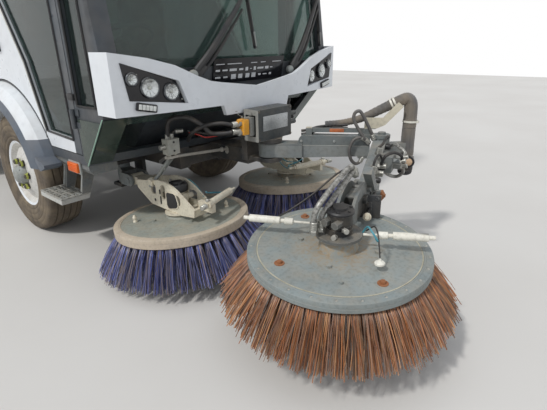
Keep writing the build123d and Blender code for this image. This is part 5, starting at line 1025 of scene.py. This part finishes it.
def make_channel_heads():
    """Windows in the cheeks, dark motors, teal cables and the slanted tie bars, on both sides."""
    body = "channel_carrier_*"
    rim = Shape()
    rim.skin([window_ring(520, 1.12), window_ring(523.1, 1.10), window_ring(523.1), window_ring(521)], caps=False)
    glassy = Shape()
    glassy.skin([window_ring(521.7), window_ring(520.5)])
    for line in (((-1052, 412), (-1052, 388)), ((-1055, 376), (-1054, 334)), ((-1000, 352), (-1004, 338))):
        glassy.rod(on_side(520.4, *line), 0.0042)
    rim.done("window_rim_*", body, "cream", "light_grey_paint")
    glassy.done("window_*", body, "black", "black_plastic")
    motor = Shape()
    motor.lathe([(0.046, 0.128), (0.0535, 0.132), (0.0540, 0.165), (0.0500, 0.171), (0.0300, 0.174),
                 (0.0290, 0.184), (0.0120, 0.186)], CHANNEL_AT, 32)
    for i in range(5):
        motor.bolt(around(CHANNEL_AT, 0.041, tau * i / 5, 0.170), 0.007, 0.009)
    motor.done("motor_cap_*", body, "black", "dark_grey_paint")
    wires = Shape()
    wires.tube(spots((392, -1085, 438), (360, -1110, 428), (350, -1150, 385), (366, -1190, 352),
                     (392, -1240, 356)), 0.0036, 8)
    wires.tube(spots((408, -1290, 420), (370, -1262, 398), (342, -1232, 384), (312, -1250, 382),
                     (300, -1290, 388)), 0.0036, 8)
    wires.tube(spots((400, -1085, 445), (372, -1120, 440), (362, -1180, 400), (410, -1270, 392)), 0.0030, 8)
    wires.done("teal_cables_*", body, "teal", "hose_rubber", crisp=60)
    joints = Shape()
    joints.ferrule(spot(512, -1405, 402), (0.956, -0.295, 0.0))
    joints.bolt(stand(486, -1392, 417), 0.0125, 0.012)
    joints.done("ram_joint_*", body, "steel", "galvanised_steel")
    bar = Shape()
    bar.rod(spots((476, -1096, 572), (486, -1010, 478), (520, -965, 410)), 0.0085, 12)
    bar.rod(spots((452, -1096, 572), (470, -1005, 478), (512, -958, 408)), 0.0065, 12)
    bar.bolt(stand(483, -1050, 520, (-0.9, 0.2, 0.1), UP), 0.014, 0.010)
    bar.done("tie_bar_*", "chassis", "pale_grey", "light_grey_paint")


# Cab: lamps, label strip, wipers, panes, seals, markers, mirrors

LAMPS = ((722, 987, 0.024), (641, 948, 0.041), (532, 923, 0.036))
BOWL_STEPS = 7


def make_lamps():
    """Each lamp is a bezel, a fluted bright bowl, a bulb and a domed lens, then the row of light cells below."""
    bezels = Shape()
    bowls = Shape()
    lenses = Shape()
    bulbs = Shape()
    for x, z, r in LAMPS:
        at = stand(x, -1249.5, z, (0.10, -1, 0.02), UP)
        bezels.lathe([(r + 0.0045, -0.001), (r + 0.0045, 0.0085), (r + 0.001, 0.0125), (r - 0.003, 0.0115),
                      (r - 0.004, 0.003), (r - 0.004, -0.001)], at, 48, loop=True)
        bowl = [(r * (0.18 + 0.80 * i / BOWL_STEPS), 0.0022 + 0.0085 * (i / BOWL_STEPS) ** 2)
                for i in range(BOWL_STEPS + 1)]
        bowls.lathe(bowl + [(r * 0.98, 0.0005), (r * 0.18, 0.0005)], at, 48, loop=True)
        for i in range(10):
            spin = tau * i / 10
            rib = [at @ Vector((cos(spin) * r * k, sin(spin) * r * k, 0.0035 + 0.0085 * ((k - 0.18) / 0.8) ** 2))
                   for k in (0.25, 0.55, 0.9)]
            bowls.rod(rib, 0.0009, 6)
        bulbs.lathe([(r * 0.22, 0.001), (r * 0.22, 0.006), (r * 0.15, 0.0105), (r * 0.04, 0.012)], at, 20)
        lenses.lathe([(r * 0.97, 0.0112), (r * 0.80, 0.0140), (r * 0.45, 0.0162), (r * 0.02, 0.0168),
                      (r * 0.02, 0.0158), (r * 0.45, 0.0152), (r * 0.80, 0.0130), (r * 0.97, 0.0104)], at, 48,
                     loop=True)
    bezels.done("lamp_bezels_*", "chassis", "dark_chrome", "black_plastic", "headlamps")
    bowls.done("lamp_bowls_*", "chassis", "chrome", "polished_rod", "headlamps")
    bulbs.done("lamp_bulbs_*", "chassis", "bulb", "clear_lens", "headlamps")
    lenses.done("lamp_lenses_*", "chassis", "clear", "clear_lens", "headlamps")
    tilt = radians(12)
    at = stand(673, -1262, 868, (0.04, -1, 0), (cos(tilt), 0, sin(tilt)))
    housing = Shape()
    housing.block(at, (0.100, 0.036, 0.016), 0.007)
    housing.done("cell_housing_*", "chassis", "gloss_black", "black_plastic", "headlamps")
    cells = Shape()
    for i in range(5):
        cells.block(moved(at, (i - 2) * 0.0170, 0, 0.0088), (0.0150, 0.0220, 0.004), 0.0022)
    cells.done("light_cells_*", "chassis", "bulb", "clear_lens", "headlamps")
    screws = Shape()
    for x, z in ((697, 1003), (474, 884)):
        screws.lathe([(0.0042, 0), (0.0042, 0.0014), (0.002, 0.0026)], stand(x, -1250, z, FRONT, UP), 12)
    screws.done("lamp_screws_*", "chassis", "steel", "galvanised_steel")


STRIP_COLUMNS = 24


def make_label_strip():
    """A black strip under the screen with rows of generic marks."""
    strip = Shape()
    strip.skin([[cab_front(-0.240 + 0.545 * i / STRIP_COLUMNS, z, proud) for z, proud in
                 ((0.930, 0.0045), (0.930, 0.0085), (1.050, 0.0085), (1.050, 0.0045))]
                for i in range(STRIP_COLUMNS + 1)])
    strip.done("label_strip", "chassis", "gloss_black", "black_plastic")
    plan = [(left, width, 1.022, 0.004) for left, width in
            ((-0.225, 0.055), (-0.150, 0.10), (0.02, 0.05), (0.10, 0.04), (0.20, 0.08))]
    for height, gap, row in (
            (0.992, (0.010, 0.018), ((0.028, 0.010), (0.034, 0.008), (0.05, 0.012), (0.03, 0.010), (0.02, 0.018),
                                     (0.012, 0.004), (0.018, 0.018), (0.05, 0.010), (0.03, 0.014), (0.022, 0.006))),
            (0.958, (0.016, 0.026), ((0.034, 0.008), (0.028, 0.008), (0.034, 0.024), (0.030, 0.022), (0.030, 0.022),
                                     (0.032, 0.024), (0.022, 0.010), (0.034, 0.006), (0.020, 0.012)))):
        left = -0.226
        for width, tall in row:
            plan.append((left, width, height, tall))
            left += width + random.uniform(*gap)
    marks = Shape()
    for left, width, z, tall in plan:
        marks.skin([[cab_front(left + width * i / 3, z + rise, proud) for rise, proud in
                     ((-tall / 2, 0.0080), (-tall / 2, 0.0094), (tall / 2, 0.0094), (tall / 2, 0.0080))]
                    for i in range(4)])
    marks.done("label_marks", "chassis", "mark", "wheel_paint")


def make_wipers():
    """Two twin-spring arms leaning the same way, their blades near upright, with pale pivot caps."""
    arms = Shape()
    blades = Shape()
    caps = Shape()
    for pivot, bend, foot, top in (((-0.364, 1.000), (-0.038, 1.322), (0.045, 1.100), (0.000, 1.700)),
                                   ((0.365, 0.986), (0.690, 1.371), (0.712, 1.103), (0.735, 1.700))):
        start = cab_front(*pivot, 0.034)
        slope = (bend[1] - pivot[1]) / (bend[0] - pivot[0])
        route = [start, cab_front(pivot[0] + 0.10, pivot[1] + 0.10 * slope, 0.034),
                 cab_front(pivot[0] + (bend[0] - pivot[0]) * 0.9, pivot[1] + (bend[1] - pivot[1]) * 0.9, 0.0374),
                 cab_front((foot[0] + top[0]) / 2, (foot[1] + top[1]) / 2, 0.0306)]
        arms.tube(route, [0.019, 0.017, 0.012, 0.008], 10)
        arms.tube([p + Vector((0.030, -0.004, -0.012)) for p in route[:3]], [0.010, 0.009, 0.006], 8)
        arms.block(standing(start + Vector((0.012, 0, 0.002)), FRONT, (1, 0, slope)), (0.085, 0.044, 0.036), 0.008)
        line = [cab_front(foot[0] + (top[0] - foot[0]) * k / 8, foot[1] + (top[1] - foot[1]) * k / 8)
                for k in range(9)]
        blades.rod([p + Vector((0, -0.0105, 0)) for p in line], 0.0055, 6)
        arms.rod([p + Vector((0, -0.0215, 0)) for p in line], [0.0045, 0.0075, 0.0075, 0.0045])
        for k in (0, 1, 3, 5, 7, 8):
            arms.block(standing(line[k] + Vector((0, -0.016, 0))), (0.012, 0.015, 0.018), 0.003)
        caps.rod([line[0] + Vector((0, -0.0255, 0.004)), line[1] + Vector((0, -0.0275, 0))], [0.0035, 0.0050])
        caps.lathe([(0.021, -0.010), (0.022, 0.004), (0.019, 0.012), (0.010, 0.016), (0.003, 0.0165)],
                   standing(start + Vector((-0.022, -0.004, -0.014)), (-0.25, -1, 0), UP), 24)
    arms.done("wiper_arms", "chassis", "black", "black_plastic", "wipers")
    blades.done("wiper_blades", "chassis", "hose", "hose_rubber", "wipers")
    caps.done("wiper_caps", "chassis", "pale_grey", "grey_paint", "wipers")


def make_cab_trim():
    """Bonded corner panes, seals, bright strips, creases and grips of the doors, markers and mirror glass."""
    pane = Shape()
    pane.plate(on_side(802.4, (-884, 600), (-884, 800), (-1096, 800), (-912, 586)), (0.0035, 0, 0))
    pane.plate([cab_front(x, z, 0.0045) for x, z in
                ((0.798, 0.584), (0.798, 0.812), (0.735, 0.812), (0.690, 0.812), (0.690, 0.584), (0.735, 0.584))],
               (0, -0.004, 0.0015))
    pane.done("corner_panes_*", "chassis", "dark_glass", "tinted_glass")
    edge = Shape()
    edge.rod(on_side(806, (-911, 578), (-1116, 818)), 0.0030)
    edge.done("corner_edge_*", "chassis", "edge_green", "tinted_glass")
    seal = Shape()
    ring = on_side(800.5, (-795, 690), (-505, 702), (-396, 1045), (-230, 1322), (-60, 1560), (35, 1760),
                   (60, 1990), (-795, 1990))
    seal.rod(ring + ring[:1], 0.0065)
    quarter = on_side(801.5, (-900, 862), (-1070, 862), (-1054, 1290), (-940, 2040), (-900, 2040))
    seal.rod(quarter + quarter[:1], 0.006)
    for z in (900, 1500, 1940):
        seal.block(stand(806, -866, z, OUT), (0.060, 0.030, 0.022), 0.006)
    seal.done("door_seals_*", "cab_door_*", "black", "black_plastic")
    bright = Shape()
    bright.rod(on_side(803.5, (-492, 712), (-384, 1048), (-218, 1326), (-49, 1563), (44, 1760)), 0.0036)
    bright.done("bright_strip_*", "cab_door_*", "steel", "polished_rod")
    crease = Shape()
    crease.rod(on_side(801, (-470, 640), (-486, 700), (-372, 1045), (-206, 1322), (-36, 1560), (58, 1760)),
               0.0022, 6)
    crease.done("door_crease_*", "cab_door_*", "grey", "grey_paint")
    grip = Shape()
    grip.block(stand(806, -20, 1120, OUT), (0.150, 0.050, 0.012), 0.005)
    grip.tube([spot(812, a, 1128) for a in (-84, -70, 20, 40)], [0.006, 0.010, 0.010, 0.006], 10)
    grip.done("door_grip_*", "cab_door_*", "black", "black_plastic")
    marker = Shape()
    marker.block(stand(806, -746, 545, OUT), (0.100, 0.048, 0.016), 0.005)
    for i in range(7):
        marker.block(stand(814.5, -746 + (i - 3) * 13, 545, OUT), (0.007, 0.040, 0.003), 0.0012)
    marker.done("side_marker_*", "chassis", "amber", "amber_lens")
    backing = Shape()
    backing.block(stand(796, -746, 545, OUT), (0.120, 0.066, 0.010), 0.004)
    backing.done("marker_base_*", "chassis", "pale_grey", "grey_paint")
    glass_plate = Shape()
    at = stand(945, -1089, 1620, (0.12, 1, -0.05), UP)
    glass_plate.block(at, (0.300, 0.140, 0.004), 0.002)
    glass_plate.done("mirror_glass_*", "chassis", "mirror", "polished_rod")


def make_steps():
    """A pierced tread over each step, with its slanted stays."""
    tread = Shape()
    for i in range(7):
        tread.block(stand(790, -655 + i * 42, 360.5), (0.150, 0.010, 0.008), 0.0015)
    for i in range(5):
        tread.block(stand(722 + i * 34, -529, 361.5), (0.010, 0.262, 0.008), 0.0015)
    for i in range(6):
        for j in range(4):
            if (i + j) % 2:
                tread.bolt(stand(739 + j * 34, -634 + i * 42, 359.5), 0.006, 0.007, 8)
    tread.done("tread_step_*", "chassis", "galvanised", "galvanised_steel")
    stays = Shape()
    for y in (-640, -430):
        stays.tube(spots((702, y - 8, 566), (716, y, 470), (735, y + 4, 372)), 0.011)
        stays.bolt(stand(704, y - 6, 548, (1, 0, 0.1), UP), 0.013, 0.010)
    stays.done("stays_step_*", "chassis", "pale_grey", "grey_paint")


def make_front_box():
    """Bare plate on the box, yellow block with its couplings and chain, and the hoses from the valve blocks."""
    plate = Shape()
    at = stand(0, -1411.5, 729, FRONT)
    plate.block(at, (0.198, 0.076, 0.004), 0.0015)
    for x in (-0.091, 0.091):
        plate.lathe([(0.004, 0.001), (0.004, 0.0035), (0.002, 0.0045)], moved(at, x, 0, 0), 12)
    plate.done("box_plate", "chassis", "plate", "galvanised_steel")
    bolts = Shape()
    for x, z in ((-126, 792), (126, 792), (-126, 650), (126, 650)):
        bolts.bolt(stand(x, -1410, z, FRONT), 0.0065, 0.005)
    bolts.done("box_bolts", "chassis", "dark_steel", "galvanised_steel")
    yellow = Shape()
    yellow.block(stand(-192, -1358, 724, FRONT), (0.038, 0.078, 0.052), 0.005)
    yellow.rod(spots((-211, -1358, 756), (-232, -1358, 752)), 0.010, 12)
    yellow.done("box_yellow_block", "chassis", "yellow", "amber_lens")
    silver = Shape()
    for z in (742, 706):
        silver.ferrule(spot(-172, -1360, z), OUT, 0.0150, 0.040)
        silver.ferrule(spot(-212, -1352, z), (-1, 0.15, 0), 0.0155, 0.046)
    for i in range(11):
        k = i / 10
        turn = stand(-248 + 120 * k, -1372, 776 + 34 * (2 * k - 1) ** 2 - 14 * k,
                     (0.2, -1, 0) if i % 2 else (0.2, 0, 1))
        silver.lathe([(0.0045, -0.0012), (0.0070, 0), (0.0045, 0.0012)], turn, 12, loop=True)
    silver.done("box_couplings", "chassis", "steel", "galvanised_steel")
    pipes = Shape()
    pipes.tube(spots((-258, -1346, 706), (-290, -1310, 700), (-330, -1262, 705), (-352, -1238, 740),
                     (-394, -1190, 778), (-434, -1150, 784), (-468, -1116, 762), (-472, -1100, 684)), 0.0115, 12)
    pipes.tube(spots((-258, -1346, 742), (-300, -1310, 752), (-350, -1250, 742), (-380, -1180, 700),
                     (-352, -1110, 650)), 0.0105, 12)
    pipes.tube(spots((-444, -1100, 684), (-441, -1102, 702), (-428, -1112, 711)), 0.009, 10)
    pipes.tube(spots((-382, -1150, 709), (-345, -1190, 700), (-312, -1240, 692), (-270, -1290, 688),
                     (-226, -1330, 690)), 0.0055, 8)
    pipes.done("box_hoses", "chassis", "hose", "hose_rubber", crisp=60)
    red = Shape()
    red.tube(spots((-380, -1158, 703), (-350, -1195, 690), (-330, -1225, 678), (-290, -1270, 684)), 0.0035, 8)
    red.done("red_cable", "chassis", "red", "red_lens", crisp=60)
    valve = Shape()
    for x in (448, 472):
        valve.ferrule(spot(x, -1100, 676), UP, length=0.026)
    valve.ferrule(spot(490, -1100, 640), OUT)
    valve.ferrule(spot(430, -1112, 711), (-0.92, -0.39, -0.03), 0.0105, 0.040)
    valve.done("valve_fittings_*", "chassis", "steel", "galvanised_steel")
    screws = Shape()
    for z in (618, 662):
        screws.bolt(stand(456, -1125.5, z, FRONT), 0.0055, 0.004)
    screws.done("valve_screws_*", "chassis", "black", "black_plastic")
    left = Shape()
    left.tube(spots((472, -1100, 700), (470, -1112, 748), (440, -1150, 780), (380, -1190, 772), (320, -1250, 730),
                    (240, -1330, 716)), 0.0115, 12)
    left.done("box_hoses_left", "chassis", "hose", "hose_rubber", crisp=60)


# Rear: lenses, latches, ribs, grille frames, handle, beacon

def make_rear():
    """What the photograph leaves out of view, as such machines have it."""
    lens = Shape()
    at = stand(660, 2767, 425, BACK)
    lens.block(moved(at, 0.045, 0, 0), (0.092, 0.078, 0.010), 0.004)
    for i in range(6):
        lens.block(moved(at, 0.010 + 0.014 * i, 0, 0.0055), (0.004, 0.070, 0.003), 0.001)
    lens.done("rear_lens_red_*", "chassis", "red", "red_lens")
    turn = Shape()
    turn.block(moved(at, -0.048, 0, 0), (0.086, 0.078, 0.010), 0.004)
    turn.done("rear_lens_amber_*", "chassis", "amber", "amber_lens")
    latch = Shape()
    for z in (900, 1500, 2050):
        latch.block(stand(770, 2683, z, BACK), (0.050, 0.110, 0.022), 0.006)
        latch.bolt(stand(770, 2694, z, BACK), 0.013, 0.010)
    latch.done("door_latches_*", "rear_door", "galvanised", "galvanised_steel")
    ribs = Shape()
    for ahead in (1180, 1540, 1900, 2260, 2540):
        ribs.block(stand(791.5, ahead, 1500, OUT, UP), (1.180, 0.050, 0.010), 0.004)
    for z in (2130, 870):
        ribs.block(stand(792, 1830, z, OUT, BACK), (1.560, 0.040, 0.012), 0.004)
    ribs.done("hopper_ribs_*", "hopper_body", "white", "white_paint")
    rim = Shape()
    ring = on_side(797, (480, 862), (894, 862), (894, 1498), (480, 1498))
    rim.rod(ring + ring[:1], 0.009)
    for z in (910, 1440):
        rim.bolt(stand(796, 930, z, OUT, UP), 0.014, 0.008)
    rim.done("grille_frame_*", "chassis", "black", "black_plastic")
    handle = Shape()
    handle.tube([spot(x, 2690 + 22 * (abs(x) < 150), 1180) for x in (-170, -150, -140, 0, 140, 150, 170)],
                0.011, 12)
    handle.done("rear_door_handle", "rear_door", "black", "black_plastic")
    rings = Shape()
    for z, r in ((2238, 0.064), (2252, 0.0625)):
        rings.lathe([(r - 0.003, -0.004), (r, -0.003), (r, 0.003), (r - 0.003, 0.004)], stand(0, 60, z), 40,
                    loop=True)
    rings.done("beacon_rings", "chassis", "black", "black_plastic")


# Seats

VOXEL = 0.010
PRESSURE = 4
FRAMES = 20
SEAM_HALF = 0.016


def settle(obj):
    """Applies an object's modifiers to its mesh."""
    bpy.context.view_layer.update()
    done = bpy.data.meshes.new_from_object(obj.evaluated_get(bpy.context.evaluated_depsgraph_get()))
    obj.modifiers.clear()
    obj.data = done


def puffed(name, size, seams, swell, cap):
    """A pad: cloth swollen by air pressure from a slightly smaller block, then its sewn channels are pressed in."""
    mesh = bmesh.new()
    bmesh.ops.create_cube(mesh, size=1, matrix=Matrix.Diagonal((*[s - 2 * swell for s in size], 1)))
    bmesh.ops.bevel(mesh, geom=list(mesh.edges), offset=min(size) * 0.22, segments=4, affect="EDGES", profile=0.5)
    data = bpy.data.meshes.new(name)
    mesh.to_mesh(data)
    mesh.free()
    pad = bpy.data.objects.new(name, data)
    bpy.context.collection.objects.link(pad)
    remesh = pad.modifiers.new("grid", "REMESH")
    remesh.mode = "VOXEL"
    remesh.voxel_size = VOXEL
    settle(pad)
    before = [v.co.copy() for v in pad.data.vertices]
    cloth = pad.modifiers.new("air", "CLOTH")
    cloth.settings.quality = 5
    cloth.settings.use_pressure = True
    cloth.settings.uniform_pressure_force = PRESSURE
    cloth.settings.effector_weights.gravity = 0
    cloth.point_cache.frame_start = 1
    cloth.point_cache.frame_end = FRAMES
    for number in range(1, FRAMES + 1):
        bpy.context.scene.frame_set(number)
    settle(pad)
    bpy.context.scene.frame_set(1)
    for vert, start in zip(pad.data.vertices, before):
        shift = vert.co - start
        if shift.length > cap:
            vert.co = start + shift * (cap / shift.length)
    for vert in pad.data.vertices:
        for across, at, deep in seams:
            gap = abs(vert.co[across] - at)
            if gap < SEAM_HALF:
                vert.co -= vert.normal * deep * (1 - gap / SEAM_HALF) ** 2
    smooth = pad.modifiers.new("soft", "SUBSURF")
    smooth.levels = smooth.render_levels = 1
    settle(pad)
    return pad


def make_seats():
    """Two seats: cushion, back and headrest as filled cloth, with pedestal and posts."""
    sewn = [(0, -0.12, 0.006), (0, 0.12, 0.006)]
    cushion = puffed("cushion_l", (0.43, 0.42, 0.11), sewn + [(1, -0.08, 0.005), (1, 0.06, 0.005)], 0.010, 0.014)
    back = puffed("backrest_l", (0.42, 0.09, 0.62), sewn + [(2, z, 0.005) for z in (0.05, -0.12, 0.20)], 0.009,
                  0.013)
    rest = puffed("headrest_l", (0.24, 0.07, 0.18), [(2, 0.0, 0.003)], 0.006, 0.009)
    for pad, (x, ahead, z) in ((cushion, (340, 60, 935)), (back, (340, 225, 1290)), (rest, (340, 227, 1690))):
        twin = bpy.data.objects.new(pad.name[:-2] + "_r", pad.data.copy())
        bpy.context.collection.objects.link(twin)
        for piece, sign in ((pad, 1), (twin, -1)):
            piece.data.transform(Matrix.Translation(spot(x * sign, ahead, z)))
            piece.data.materials.clear()
            piece.data.materials.append(PAINTS["seat"])
            piece.data.shade_smooth()
            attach(piece, "chassis")
            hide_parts("seats")
    posts = Shape()
    for sign in (-1, 1):
        for x in (340 * sign - 25, 340 * sign + 25):
            posts.rod(spots((x, 232, 1560), (x, 228, 1640)), 0.006, 12)
        for x in (340 * sign - 205, 340 * sign + 205):
            posts.rod(spots((x, 150, 905), (x, 210, 905)), 0.016, 14)
    posts.done("seat_posts", "chassis", "steel", "polished_rod", "seats")
    base = Shape()
    for sign in (-1, 1):
        for grow, z in ((0, 624), (-10, 680), (0, 736), (-10, 792), (0, 848), (10, 888)):
            base.block(stand(240 * sign, 60, z), ((230 + grow) / 1000, (330 + grow) / 1000, 0.052), 0.010)
    base.done("seat_bases", "chassis", "black", "black_plastic", "seats")


make_camera()
make_stage()
make_light()
bpy.context.scene.view_settings.view_transform = "Standard"
dress_nodes()
make_brushes()
make_wheels()
make_boom_hoses()
make_jib_details()
make_third_head()
make_channel_heads()
make_lamps()
make_label_strip()
make_wipers()
make_cab_trim()
make_steps()
make_front_box()
make_rear()
make_seats()
